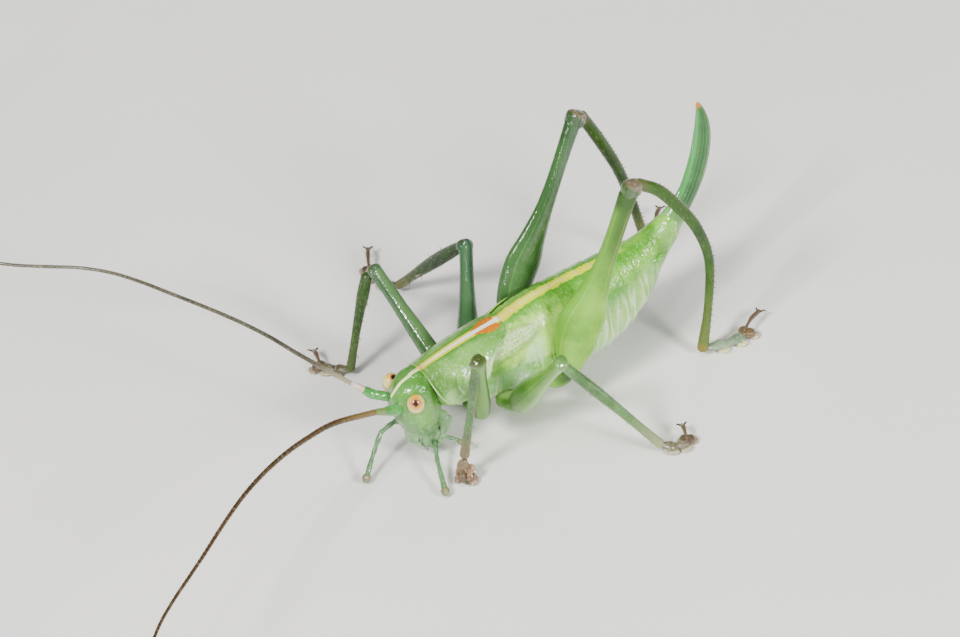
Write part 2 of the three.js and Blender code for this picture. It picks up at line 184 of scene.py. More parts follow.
# A limb or rod: round-ended, along a line, with half sizes across and up at even steps.
# Without a depth the section is round. bump(t, angle) adds to the radius; angle 0 points
# sideways and a quarter turn points up.
def limb(line, width, depth, steps, around, upHint=(0, 0, 1), bump=None, capSteps=5):
    centre = spline(line, steps)
    halfWidth = eased(width)
    halfDepth = eased(width if depth is None else depth)
    t = np.linspace(0, 1, steps)
    ahead = unit(np.gradient(centre, axis=0))
    side = unit(np.cross(np.asarray(upHint, float), ahead))
    over = np.cross(ahead, side)
    angle = np.linspace(0, 2 * math.pi, around, endpoint=False)
    rows = []
    for end, turn in ((0, -1), (None, 0), (-1, 1)):
        if end is None:
            rows += [(k, 0.0, 1.0) for k in range(steps)]
            continue
        swings = np.linspace(0, math.pi / 2, capSteps + 1)[1:]
        cap = [(end % steps, turn * math.sin(s), max(math.cos(s), 0.02)) for s in swings]
        rows += cap[::-1] if turn < 0 else cap
    rings, place = [], []
    for k, push, scale in rows:
        w, d = float(halfWidth(t[k])), float(halfDepth(t[k]))
        extra = 0 if bump is None else bump(t[k], angle)
        x = (w + extra) * np.cos(angle) * scale
        z = (d + extra) * np.sin(angle) * scale
        middle = centre[k] + ahead[k] * push * min(w, d)
        rings.append(middle + x[:, None] * side[k] + z[:, None] * over[k])
        place.append(np.stack([np.full(around, t[k]), np.cos(angle), np.sin(angle)], axis=1))
    return closedGrid(np.array(rings), np.array(place))


def blob(centre, radii, around, rows, axes=None):
    swing = np.linspace(-math.pi / 2, math.pi / 2, rows)[1:-1]
    angle = np.linspace(0, 2 * math.pi, around, endpoint=False)
    ring = np.stack([np.cos(swing)[:, None] * np.cos(angle), np.cos(swing)[:, None] * np.sin(angle),
                     np.repeat(np.sin(swing)[:, None], around, 1)], axis=-1)
    poles = np.array([[0, 0, -1.0], [0, 0, 1.0]])
    basis = np.eye(3) if axes is None else np.asarray(axes, float)
    faces = gridFaces(len(swing), around)
    last = (len(swing) - 1) * around
    for j in range(around):
        k = (j + 1) % around
        faces.append((len(swing) * around, k, j))
        faces.append((len(swing) * around + 1, last + j, last + k))
    normals = np.concatenate([ring.reshape(-1, 3), poles])
    return facingOut(part(np.asarray(centre) + (normals * np.asarray(radii)) @ basis, faces, normals))


def normalsOf(p):
    points = p["points"]
    normals = np.zeros_like(points)
    for count in (3, 4):
        faces = np.array([f for f in p["faces"] if len(f) == count])
        if not len(faces):
            continue
        c = points[faces]
        n = np.cross(c[:, 1] - c[:, 0], c[:, 2] - c[:, 0])
        if count == 4:
            n = n + np.cross(c[:, 2] - c[:, 0], c[:, 3] - c[:, 0])
        for k in range(count):
            np.add.at(normals, faces[:, k], n)
    return unit(normals)


def distanceTo(points, line):
    best = np.full(len(points), 1e9)
    line = np.asarray(line, float)
    for a, b in zip(line[:-1], line[1:]):
        ab = b - a
        s = np.clip((points - a) @ ab / max(ab @ ab, 1e-12), 0, 1)
        best = np.minimum(best, np.linalg.norm(points - (a + s[:, None] * ab), axis=1))
    return best


# Cuts a groove (or raises a ridge where depth is negative) along a line drawn in one view:
# "side" is [y, z] on the side named by where, "front" is [x, z] ahead of where.
def groove(p, line, width, depth, where, view="side", lip=0.0):
    columns = {"side": [1, 2], "front": [0, 2]}[view]
    keep = p["points"][:, 0] * where > 0 if view == "side" else p["points"][:, 1] < where
    far = distanceTo(p["points"][:, columns], spline(line, 30))
    move = -depth * np.exp(-((far / width) ** 2)) + lip * bell(far, width * 1.9, width * 0.8)
    p["points"] += normalsOf(p) * (move * keep)[:, None]


def dab(p, centre, reach, push):  # push is a distance along the normals, or a vector
    far = np.linalg.norm((p["points"] - np.asarray(centre, float)) / np.asarray(reach, float), axis=1)
    weight = np.exp(-far**2)[:, None]
    p["points"] += weight * (normalsOf(p) * push if np.isscalar(push) else np.asarray(push, float))


def makePiece(name, p, material, nodes=()):
    mesh = bpy.data.meshes.new(name)
    mesh.from_pydata(toRow(p["points"]).tolist(), [], p["faces"])
    attribute = mesh.attributes.new("place", "FLOAT_VECTOR", "POINT")
    attribute.data.foreach_set("vector", p["place"].astype(np.float32).ravel())
    mesh.polygons.foreach_set("use_smooth", [True] * len(mesh.polygons))
    mesh.materials.append(material)
    mesh.update()
    piece = bpy.data.objects.new(name, mesh)
    bpy.context.scene.collection.objects.link(piece)
    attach(piece, "root")
    if nodes:
        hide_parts(*nodes)
    return piece


# Every pattern is made of nodes, in millimetres of the body's own frame.
def startMaterial(name):
    material = bpy.data.materials.new(name)
    material.use_nodes = True
    tree = material.node_tree
    shader = tree.nodes["Principled BSDF"]
    return material, tree, shader


def setSockets(shader, values):
    for key, value in values.items():
        shader.inputs[key].default_value = value


def node(tree, kind, inputs=None, **settings):
    made = tree.nodes.new(kind)
    for key, value in settings.items():
        setattr(made, key, value)
    for key, value in (inputs or {}).items():
        if isinstance(value, bpy.types.NodeSocket):
            tree.links.new(value, made.inputs[key])
        else:
            made.inputs[key].default_value = value
    return made


def sums(tree, operation, *values, clamp=False):
    made = node(tree, "ShaderNodeMath", dict(enumerate(values)), operation=operation)
    made.use_clamp = clamp
    return made.outputs[0]


def times(tree, first, second):
    return sums(tree, "MULTIPLY", first, second)


def plus(tree, first, second):
    return sums(tree, "ADD", first, second)


def minus(tree, first, second):
    return sums(tree, "SUBTRACT", first, second)


def shade(hexColour):  # a screen colour such as 84a873, as the linear colour that nodes use
    levels = [int(hexColour[i:i + 2], 16) / 255 for i in (0, 2, 4)]
    return tuple(c / 12.92 if c < 0.04045 else ((c + 0.055) / 1.055) ** 2.4 for c in levels) + (1.0,)


def blend(tree, amount, first, second):
    made = node(tree, "ShaderNodeMix", data_type="RGBA")
    for index, value in ((0, amount), (6, first), (7, second)):
        if isinstance(value, str):
            value = shade(value)
        if isinstance(value, bpy.types.NodeSocket):
            tree.links.new(value, made.inputs[index])
        else:
            made.inputs[index].default_value = value
    return made.outputs[2]


def band(tree, value, low, high, soft):  # 1 between low and high, fading over soft
    rise = node(tree, "ShaderNodeMapRange", {0: value, 1: low - soft, 2: low + soft})
    fall = node(tree, "ShaderNodeMapRange", {0: value, 1: high - soft, 2: high + soft, 3: 1.0, 4: 0.0})
    return times(tree, rise.outputs[0], fall.outputs[0])


def ramp(tree, value, low, high, start=0.0, end=1.0):
    return node(tree, "ShaderNodeMapRange", {0: value, 1: low, 2: high, 3: start, 4: end},
                interpolation_type="SMOOTHSTEP").outputs[0]


def bodySpot(tree):  # the millimetre position in the body's frame, and its three numbers
    spot = node(tree, "ShaderNodeTexCoord").outputs["Object"]
    moved = node(tree, "ShaderNodeVectorMath", {0: spot, 1: tuple(bodyOrigin)},
                 operation="SUBTRACT").outputs[0]
    scaled = node(tree, "ShaderNodeVectorMath", {0: moved, "Scale": 1000.0}, operation="SCALE").outputs[0]
    axes = node(tree, "ShaderNodeSeparateXYZ", {0: scaled}).outputs
    return scaled, axes[0], axes[1], axes[2]


def partPlace(tree):  # the point's place on its own part: along, cosine and sine of its angle
    place = node(tree, "ShaderNodeAttribute", attribute_name="place").outputs["Vector"]
    return node(tree, "ShaderNodeSeparateXYZ", {0: place}).outputs


def noise(tree, spot, size, detail=3.0, rough=0.55):
    made = node(tree, "ShaderNodeTexNoise",
                {"Vector": spot, "Scale": 1 / size, "Detail": detail, "Roughness": rough})
    return made.outputs["Fac"]


def cells(tree, spot, size, randomness=1.0):
    made = node(tree, "ShaderNodeTexVoronoi", {"Vector": spot, "Scale": 1 / size, "Randomness": randomness})
    return made.outputs["Distance"]


def bumps(tree, layers):  # (height, millimetres) pairs, stacked
    normal = None
    for height, depth in layers:
        inputs = {"Height": height, "Distance": depth * 0.001, "Strength": 1.0}
        if normal is not None:
            inputs["Normal"] = normal
        normal = node(tree, "ShaderNodeBump", inputs).outputs[0]
    return normal


cuticleLook = {
    "broad": 1.3, "fine": 0.16, "grain": 0.06,  # sizes of the three patterns, in millimetres
    "flecks": 0.5, "pits": 0.18,  # how strongly pale flecks and dark pits show
    "wrinkle": 0.008, "grainDepth": 0.008,  # bump depths, in millimetres
    # light that goes in and comes out again: how much, its colour, and how far it goes, in metres
    "soft": 0.3, "glow": (0.6, 1.0, 0.35), "glowReach": 0.0004,
    "wet": 1.0, "wetRough": 0.08, "wetIndex": 1.6, "shine": 0.15,
}


# The animal's skin: deep and base tones in broad clouds, with pale flecks and deep pits.
def cuticle(name, tones, changes):
    deep, base, pale = tones
    look = {**cuticleLook, **changes}
    material, tree, shader = startMaterial(name)
    spot, x, y, z = bodySpot(tree)
    broad = noise(tree, spot, look["broad"], 2.0)
    fine = noise(tree, spot, look["fine"], 4.0, 0.6)
    grain = cells(tree, spot, look["grain"])
    tint = blend(tree, ramp(tree, broad, 0.3, 0.7), deep, base)
    tint = blend(tree, ramp(tree, fine, 0.52, 0.74, 0.0, look["flecks"]), tint, pale)
    tint = blend(tree, ramp(tree, grain, 0.0, 0.55, look["pits"], 0.0), tint, deep)
    rough = ramp(tree, fine, 0.25, 0.75, look["rough"] - 0.06, look["rough"] + 0.1)
    tree.links.new(rough, shader.inputs["Roughness"])
    setSockets(shader, {
        "Subsurface Weight": look["soft"], "Subsurface Radius": look["glow"],
        "Subsurface Scale": look["glowReach"], "Specular IOR Level": look["shine"],
        "Coat Weight": look["wet"], "Coat Roughness": look["wetRough"], "Coat IOR": look["wetIndex"],
    })
    return {"material": material, "tree": tree, "shader": shader, "spot": spot, "x": x, "y": y, "z": z,
            "tint": tint, "layers": [(fine, look["wrinkle"]), (grain, look["grainDepth"])]}


def glitter(made, mask, depth, size):  # makes a place uneven enough to sparkle
    height = times(made["tree"], noise(made["tree"], made["spot"], size, 2.0), mask)
    made["layers"].append((height, depth))


def glintSpeckled(made, tint, strength, size):  # painted glints: tiny pale specks, as from droplets, in loose clusters
    t = made["tree"]
    glintDots = ramp(t, cells(t, made["spot"], size), 0.2, 0.11)
    clusters = ramp(t, noise(t, made["spot"], 0.55, 2.0), 0.42, 0.56, 0.0, strength)
    return blend(t, times(t, glintDots, clusters), tint, "f4faee")


def layered(made, layers):  # lays tones over the skin's tint in turn: each an amount, a strength, a tone
    tree, tint = made["tree"], made["tint"]
    for amount, strength, tone in layers:
        tint = blend(tree, times(tree, amount, strength), tint, tone)
    return tint


# 1 at a place (y, z) on the side, fading to 0 at an uneven edge.
def cloud(made, centre, reach, waver, size=0.35):
    t = made["tree"]
    squares = [sums(t, "POWER", sums(t, "DIVIDE", minus(t, made[axis], middle), length), 2.0)
               for axis, middle, length in zip("yz", centre, reach)]
    uneven = minus(t, noise(t, made["spot"], size, 4.0, 0.6), 0.5)
    return ramp(t, plus(t, plus(t, *squares), times(t, uneven, waver * 4)), 1.3, 0.3)


# 1 on the stripe down the back, which has a wavering edge. Each of widths is a place along the
# body and the half width there.
def stripe(made, widths, waver, soft=0.02, size=0.22):
    t = made["tree"]
    (firstPlace, firstWidth), (lastPlace, lastWidth) = widths
    width = node(t, "ShaderNodeMapRange",
                 {0: made["y"], 1: firstPlace, 2: lastPlace, 3: firstWidth, 4: lastWidth})
    wave = times(t, minus(t, noise(t, made["spot"], size, 3.0, 0.7), 0.5), waver)
    edge = plus(t, sums(t, "ABSOLUTE", made["x"]), wave)
    inside = sums(t, "DIVIDE", minus(t, width.outputs[0], edge), soft, clamp=True)
    return times(t, inside, sums(t, "GREATER_THAN", made["z"], 3.9))


def stretched(made, scale, size, detail=3.0):  # noise drawn out along some directions
    t = made["tree"]
    spot = node(t, "ShaderNodeVectorMath", {0: made["spot"], 1: scale}, operation="MULTIPLY").outputs[0]
    return noise(t, spot, size, detail, 0.6)


def closeMaterial(made, tint=None):
    tree = made["tree"]
    tree.links.new(tint or made["tint"], made["shader"].inputs["Base Color"])
    normal = bumps(tree, made["layers"])
    tree.links.new(normal, made["shader"].inputs["Normal"])
    tree.links.new(normal, made["shader"].inputs["Coat Normal"])
    return made["material"]


# The camera, in millimetres from the body's origin; toCamera and upward are directions.
viewpoint = {
    "toCamera": (0.6669, -0.3588, 0.6531),
    "upward": (-0.4871, 0.4533, 0.7465),
    "distance": 260.0,
    "aim": (-1.652, 4.295, 4.046),
    "lens": 226.75,
}


def aimed(place, target, upward):
    back = unit(np.asarray(place, float) - np.asarray(target, float))
    across = unit(np.cross(upward, back))
    over = np.cross(back, across)
    turn = Matrix([[across[k], over[k], back[k]] for k in range(3)]).to_4x4()
    return Matrix.Translation(Vector(place)) @ turn


cameraData = bpy.data.cameras.new("camera")
cameraData.lens = viewpoint["lens"]
cameraData.sensor_width = 36.0
cameraData.clip_start = 0.005
camera = bpy.data.objects.new("camera", cameraData)
bpy.context.scene.collection.objects.link(camera)
camera.matrix_world = aimed(toRow(np.array(viewpoint["toCamera"]) * viewpoint["distance"]),
                            toRow(viewpoint["aim"]), viewpoint["upward"])
bpy.context.scene.camera = camera

# Lamps, with places and sizes in metres and power in watts.
lampAim = (0.0, 0.006, 0.004)
lamps = {
    "leftFlash": {"from": (0.07, -0.17, 0.2), "size": 0.05, "power": 1.0, "colour": (1.0, 0.985, 0.95)},
    "rightFlash": {"from": (0.22, 0.05, 0.13), "size": 0.05, "power": 0.75, "colour": (1.0, 0.99, 0.97)},
    "overheadFlash": {"from": (0.09, -0.03, 0.28), "size": 0.03, "power": 0.12, "colour": (1.0, 0.99, 0.97)},
    "lowFrontFlash": {"from": (0.18, -0.23, 0.035), "size": 0.03, "power": 0.15,
                      "colour": (1.0, 0.99, 0.97)},
    "lowRearFlash": {"from": (0.212, 0.268, 0.013), "size": 0.022, "power": 0.08,
                     "colour": (1.0, 0.99, 0.97)},
    "overheadSoftbox": {"from": (0.05, -0.06, 0.34), "size": 0.16, "power": 0.32,
                        "colour": (1.0, 0.99, 0.97)},
    "rearSoftbox": {"from": (-0.18, 0.24, 0.18), "size": 0.16, "power": 0.22, "colour": (0.95, 0.98, 1.0)},
}
for name, lamp in lamps.items():
    light = bpy.data.lights.new(name, "AREA")
    light.size = lamp["size"]
    light.energy = lamp["power"]
    light.color = lamp["colour"]
    holder = bpy.data.objects.new(name, light)
    bpy.context.scene.collection.objects.link(holder)
    holder.matrix_world = aimed(lamp["from"], lampAim, (0, 0, 1))
    holder.visible_glossy = "Flash" in name  # only the small lamps show as glints

world = bpy.data.worlds.new("paleRoom")
world.use_nodes = True
setSockets(world.node_tree.nodes["Background"], {"Color": (0.93, 0.96, 1.0, 1), "Strength": 0.11})
bpy.context.scene.world = world

ground = {"reach": 0.9, "cloud": 0.03, "tones": ("e6e6e2", "ecebe8"), "rough": 0.85}  # in metres
floorMaterial, floorTree, floorShader = startMaterial("paleFloor")
floorSpot = node(floorTree, "ShaderNodeTexCoord").outputs["Object"]
floorCloud = ramp(floorTree, noise(floorTree, floorSpot, ground["cloud"]), 0.3, 0.7)
floorTree.links.new(blend(floorTree, floorCloud, *ground["tones"]), floorShader.inputs["Base Color"])
setSockets(floorShader, {"Roughness": ground["rough"]})
floorMesh = bpy.data.meshes.new("floor")
floorCorners = [(x * ground["reach"], y * ground["reach"], 0)
                for x, y in ((-1, -1), (1, -1), (1, 1), (-1, 1))]
floorMesh.from_pydata(floorCorners, [], [(0, 1, 2, 3)])
floorMesh.materials.append(floorMaterial)
floor = bpy.data.objects.new("floor", floorMesh)
bpy.context.scene.collection.objects.link(floor)
print("stage: floor, light and camera")


# Trunk: one skin over thorax and abdomen, with its overlapping plates and side folds.
trunk = {
    "top": [(0.1, 4.3), (1.8, 4.66), (3.4, 4.84), (4.3, 5.1), (4.95, 5.24), (5.66, 5.34), (6.4, 5.37),
            (7.85, 5.34), (9.3, 5.27), (10.1, 5.25), (10.6, 5.24)],
    "bottom": [(0.1, 2.8), (1.8, 1.9), (3.4, 1.42), (4.9, 1.18), (6.4, 1.05), (7.85, 0.98), (9.3, 1.14),
               (10.1, 1.42), (10.6, 1.74)],
    # the tail turns up: middle of each cut, its lean in degrees, half height and half width
    "tail": [(11.5, 3.86, 10, 1.43, 1.0), (12.15, 4.35, 17, 1.04, 0.8), (12.76, 4.76, 24, 0.86, 0.62),
             (13.2, 5.05, 30, 0.78, 0.5), (13.55, 5.35, 36, 0.6, 0.36)],
    "half": [(0.1, 0.7), (0.35, 0.85), (1.8, 1.16), (3.4, 1.3), (4.9, 1.45), (6.4, 1.54), (7.85, 1.56),
             (9.3, 1.49), (10.1, 1.36), (10.6, 1.25)],
    # where each plate ends, along the back and along the belly
    "topCuts": [0.3, 1.6, 3.2, 4.35, 4.95, 5.62, 6.3, 6.98, 7.66, 8.4, 9.2, 10.05, 10.9, 11.6, 12.4, 14.0],
    "bellyCuts": [0.5, 2.1, 3.7, 4.8, 5.3, 5.85, 6.45, 7.15, 7.85, 8.55, 9.25, 9.97, 10.6, 11.15, 11.9,
                  13.4],
    "plateStep": 0.035,
    "foldDepth": 0.04,
    "foldsPerPlate": 1.6,
    "scallop": 0.09,
    "fullness": 1.1,  # sections are this much fuller than ellipses
    "rows": 480,
    "columns": 160,
}


def sideways(share):  # how far out a full section reaches at a share of its half height
    tall = np.clip(np.abs(share), 0, 1) ** trunk["fullness"]
    return np.sqrt(np.clip(1 - tall**2, 0, 1)) ** (1 / trunk["fullness"])


def trunkSurface():
    y = np.linspace(trunk["top"][0][0], trunk["top"][-1][0], 36)
    top, bottom, half = (through(trunk[k])(y) for k in ("top", "bottom", "half"))
    straight = np.stack([y, (top + bottom) / 2, 0 * y, (top - bottom) / 2, half], axis=1)
    counts = [1, 1, 0.02, 1, 1]  # a degree of lean counts little beside a millimetre
    stations = spline(np.concatenate([straight, trunk["tail"]]) * counts, trunk["rows"]) / counts
    y, height, lean, tall, half = stations.T[:, :, None]
    lean = np.radians(lean)
    angle = np.linspace(0, 2 * math.pi, trunk["columns"], endpoint=False)
    down = (1 - np.sin(angle)) / 2  # 0 along the back, 1 along the belly
    cuts = np.outer(1 - down, trunk["topCuts"]) + np.outer(down, trunk["bellyCuts"])
    numbers = np.arange(len(trunk["topCuts"]))
    plate = np.stack([np.interp(y[:, 0], cut, numbers) for cut in cuts], axis=1)
    inPlate = plate - np.floor(plate)
    down = np.broadcast_to(down, plate.shape)
    y = np.broadcast_to(y, plate.shape)
    rearward = smoothStep(y, 6.4, 8.0)
    ending = 1 - smoothStep(y, 11.0, 12.0)
    lowSide = bell(down, 0.84, 0.15) * rearward * ending

    wander = (1.5 * np.sin(plate * 1.7 + down * 5) + 1.1 * np.sin(plate * 4.3 - down * 6)
              + 0.8 * np.sin(plate * 9.1 + down * 17))
    foldPhase = 2 * np.pi * (plate * trunk["foldsPerPlate"]) + wander
    foldSpan = smoothStep(down, 0.22, 0.5) * (1 - smoothStep(down, 0.84, 0.95))
    folds = trunk["foldDepth"] * np.sin(foldPhase) * foldSpan * (0.25 + 0.75 * rearward) * ending
    step = (trunk["plateStep"] * (0.35 + 0.65 * ending) * inPlate**1.2
            * (1 - smoothStep(inPlate, 0.9, 1.0)) * (1 - 0.7 * smoothStep(down, 0.3, 0.5)))
    scallop = (trunk["scallop"] * np.sqrt(np.sin(np.pi * inPlate)) - 0.08) * lowSide
    bag = 0.09 * bell(down, 0.6, 0.2) * rearward * ending  # the soft side bulges below the plates
    swell = step + folds + scallop + bag - 0.03

    full = lambda c: np.sign(c) * np.abs(c) ** (1 / trunk["fullness"])
    x = full(np.cos(angle)) * (half + swell)
    over = full(np.sin(angle)) * (tall + swell)
    rings = np.stack([x, y - np.sin(lean) * over, height + np.cos(lean) * over], axis=-1)
    return closedGrid(rings, np.stack([plate, down, 0.5 + 0.5 * np.sin(foldPhase)], axis=-1))


def trunkPaint():
    made = cuticle("trunkSkin", ("4a921c", "7cba3c", "cdec8a"),
                   {"rough": 0.42, "grain": 0.12, "flecks": 0.35, "broad": 0.9,
                    "grainDepth": 0.016, "wrinkle": 0.013})
    t, along = made["tree"], made["y"]
    plateNumber, down, crest = partPlace(t)
    sideFade = ramp(t, down, 0.24, 0.5)
    rearFade = times(t, ramp(t, along, 6.6, 8.2), ramp(t, along, 12.2, 10.8))
    rearSide = times(t, rearFade, sideFade)
    foldCrest = times(t, ramp(t, crest, 0.45, 0.95), rearSide)
    lowEdge = times(t, ramp(t, down, 0.66, 0.84), rearFade)
    streaks = times(t, ramp(t, down, 0.4, 0.6), ramp(t, stretched(made, (1.0, 4.0, 0.5), 0.8), 0.5, 0.72))
    webs = times(t, ramp(t, stretched(made, (1.0, 1.0, 1.0), 0.5, 6.0), 0.56, 0.72), sideFade)
    stripeSpan = ramp(t, along, 11.0, 10.3)
    shadow = times(t, stripe(made, [(4.0, 0.62), (12.0, 0.62)], 0.6, 0.2, 0.3), stripeSpan)
    yellow = times(t, stripe(made, [(4.3, 0.3), (11.0, 0.2)], 0.22), stripeSpan)
    creamy = times(t, stripe(made, [(4.3, 0.17), (9.0, 0.07)], 0.16), ramp(t, along, 9.5, 7.0))
    tan = times(t, stripe(made, [(4.3, 0.3), (5.6, 0.18)], 0.16), ramp(t, along, 5.5, 5.0))
    plateEnd = band(t, sums(t, "FRACT", plateNumber), 0.86, 1.05, 0.04)
    bars = times(t, stripe(made, [(4.3, 0.24), (10.6, 0.18)], 0.1), plateEnd)
    tint = layered(made, [
        (rearSide, 0.8, "a3d172"),
        (foldCrest, 0.55, "dff3cf"),
        (lowEdge, 0.6, "cbe9c4"),
        (cloud(made, (5.3, 4.2), (2.0, 1.0), 0.7, 0.5), 0.8, "b5e060"),
        (cloud(made, (5.05, 3.65), (0.5, 0.75), 1.2, 0.3), 0.45, "c6e8ba"),
        (cloud(made, (4.45, 4.15), (0.16, 0.3), 0.5, 0.25), 0.8, "cfe010"),
        (cloud(made, (3.6, 2.6), (1.3, 0.9), 0.6), 0.5, "8fc08c"),
        (streaks, 0.55, "d8f0a0"),
        (webs, 0.55, "e6f5da"),
        (shadow, 0.55, "3a8a14"),
        (yellow, 1.0, "d2dc00"),
        (creamy, 0.5, "f6f084"),
        (tan, 0.3, "cf9a2c"),
        (times(t, bars, stripeSpan), 0.3, "f6f3c0"),
    ])
    for centre, reach, waver, depth, size in (
        ((12.0, 5.0), (1.5, 0.55), 0.7, 0.015, 0.14),
        ((10.4, 4.5), (0.8, 0.5), 0.9, 0.014, 0.13),
        ((3.7, 3.4), (0.6, 0.9), 1.2, 0.014, 0.13),
    ):
        glitter(made, cloud(made, centre, reach, waver, 0.3), depth, size)
    # pale specks laid on top: painted glints
    return closeMaterial(made, glintSpeckled(made, tint, 0.25, 0.17))


makePiece("trunkSkin", trunkSurface(), trunkPaint(),
          ["thorax", "abdomen_front", "abdomen_middle", "abdomen_rear", "abdomen_tip"])
print("stage: trunk")


# Pronotum: the saddle plate, with rounded side lobes and a rolled rim.
saddle = {
    "top": [(0, 4.76), (1.4, 4.96), (2.8, 5.08), (4.25, 5.12)],
    "middle": [(0, 3.19), (1.4, 3.24), (2.8, 3.3), (4.25, 3.27)],
    "half": [(0, 1.28), (1.4, 1.47), (2.8, 1.56), (4.25, 1.53)],
    # the front and rear edges at each level, from the back (0) to the lobe's lowest edge (1)
    "front": [(0, 0.0), (0.25, 0.04), (0.5, 0.14), (0.75, 0.34), (0.9, 0.56), (1.0, 1.0)],
    "rear": [(0, 4.25), (0.1, 4.1), (0.22, 3.5), (0.4, 2.95), (0.6, 2.65), (0.8, 2.35), (0.92, 2.02),
             (1.0, 1.5)],
    "lowest": 3.14,
    "rimWidth": 0.07,
    "rimHeight": 0.022,
    "thickness": 0.05,
    "spread": math.radians(97),  # the columns are spaced as on a round section this wide
    "rows": 140,
    "columns": 181,
}


def saddleSurface():
    w = np.linspace(-1, 1, saddle["columns"])
    level = (1 - np.cos(np.abs(w) * saddle["spread"])) / (1 - math.cos(saddle["spread"]))
    v = np.linspace(0, 1, saddle["rows"])[:, None]
    front, rear = through(saddle["front"])(level), through(saddle["rear"])(level)
    y = front + (rear - front) * v
    top, middle, half = (through(saddle[k])(y) for k in ("top", "middle", "half"))
    z = top - (top - saddle["lowest"]) * level
    x = np.sign(w) * half * sideways((z - middle) / (top - middle))
    toEdge = np.minimum(np.minimum(v, 1 - v) * (rear - front), (1 - np.abs(w)) * 3.2)
    place = np.stack([y, np.broadcast_to(w, y.shape), toEdge], axis=-1).reshape(-1, 3)
    sheet = part(np.stack([x, y, z], axis=-1).reshape(-1, 3),
                 gridFaces(saddle["rows"], saddle["columns"], closed=False), place)
    edgeFar = place[:, 2]
    outward = normalsOf(sheet)
    outward *= np.sign((outward * (sheet["points"] - [0, 2.1, 3.2])).sum(1).mean())
    bead = saddle["rimHeight"] * bell(edgeFar, saddle["rimWidth"] * 0.7, saddle["rimWidth"])
    trough = -0.02 * bell(edgeFar, saddle["rimWidth"] * 2.6, saddle["rimWidth"])
    sheet["points"] += outward * (bead + trough)[:, None]
    for where in (1, -1):
        groove(sheet, [(1.3, 4.5), (1.05, 4.0), (1.15, 3.6)], 0.09, 0.03, where=where)
        groove(sheet, [(2.5, 4.75), (2.2, 4.2), (2.3, 3.7)], 0.11, 0.035, where=where)
        groove(sheet, [(1.1, 4.0), (1.7, 3.85), (2.25, 3.95)], 0.08, 0.02, where=where)
    return sheet


# 1 on the two orange patches, one on each side of the stripe at the rear.
def patchAmount(made):
    t, along = made["tree"], made["y"]
    across = sums(t, "ABSOLUTE", made["x"])
    lengthwise = sums(t, "DIVIDE", minus(t, along, 3.5), 0.62)
    middle, half = ramp(t, along, 2.9, 3.7, 0.17, 0.3), ramp(t, along, 2.9, 3.6, 0.08, 0.19)
    sidelong = sums(t, "DIVIDE", minus(t, across, middle), half)
    far = plus(t, sums(t, "POWER", sums(t, "ABSOLUTE", lengthwise), 2.6),
               sums(t, "POWER", sums(t, "ABSOLUTE", sidelong), 2.4))
    return times(t, ramp(t, far, 1.2, 0.8), ramp(t, across, 0.09, 0.13))


def saddlePaint():
    made = cuticle("pronotumPlate", ("4f8a2c", "79b04f", "c6e39a"),
                   {"rough": 0.42, "grain": 0.12, "flecks": 0.35, "wrinkle": 0.013, "grainDepth": 0.014})
    t = made["tree"]
    place = partPlace(t)
    frontSpot = times(t, stripe(made, [(0.0, 0.13), (4.2, 0.13)], 0.04, 0.04), ramp(t, made["y"], 0.5, 0.2))
    orange = blend(t, ramp(t, noise(t, made["spot"], 0.1), 0.35, 0.65), "b86400", "c87e00")
    # a pale painted highlight along the rolled rim of the side lobes
    rimHighlight = times(t, ramp(t, place[2], 0.07, 0.02), band(t, sums(t, "ABSOLUTE", place[1]), 0.42, 0.78,
                                                           0.12))
    tint = layered(made, [
        (cloud(made, (1.4, 3.5), (1.3, 0.55), 0.6), 0.5, "a7d08c"),
        (cloud(made, (2.5, 4.1), (1.0, 0.4), 0.6), 0.6, "cfe8ae"),
        (stripe(made, [(0.0, 0.3), (4.2, 0.62)], 0.14, 0.2), 0.65, "37801a"),
        (stripe(made, [(0.0, 0.17), (4.2, 0.25)], 0.06), 1.0, "dcd800"),
        (stripe(made, [(0.0, 0.05), (4.2, 0.15)], 0.06, 0.04), 1.0, "fffdea"),
        (frontSpot, 0.6, "f0b06a"),
        (patchAmount(made), 1.0, orange),
        (rimHighlight, 0.7, "dcf0c0"),
    ])
    glitter(made, cloud(made, (2.2, 3.9), (0.6, 0.4), 0.9, 0.25), 0.022, 0.1)
    glitter(made, cloud(made, (0.7, 3.9), (0.5, 0.5), 1.2, 0.2), 0.02, 0.09)
    # pale specks laid on top: painted glints
    return closeMaterial(made, glintSpeckled(made, tint, 0.35, 0.17))


def thicken(piece, thickness, offset):  # thickness in millimetres
    shell = piece.modifiers.new("thickness", "SOLIDIFY")
    shell.thickness = thickness * 0.001
    shell.offset = offset


thicken(makePiece("pronotumPlate", saddleSurface(), saddlePaint(), ["pronotum"]),
        saddle["thickness"], -1)
print("stage: pronotum")


# Head: a skull of level sections, with bumps and grooves pressed into it.
skull = {
    # level sections from the crown down: height, front, back, half width
    "sections": [(4.66, -0.5, 0.25, 0.3), (4.5, -1.0, 0.5, 0.74), (4.1, -1.34, 0.6, 0.98),
                 (3.5, -1.52, 0.6, 1.1), (2.9, -1.46, 0.64, 1.1), (2.35, -1.28, 0.62, 1.0),
                 (1.9, -1.1, 0.42, 0.84), (1.62, -0.98, 0.1, 0.66)],
    "rows": 150,
    "around": 160,
}


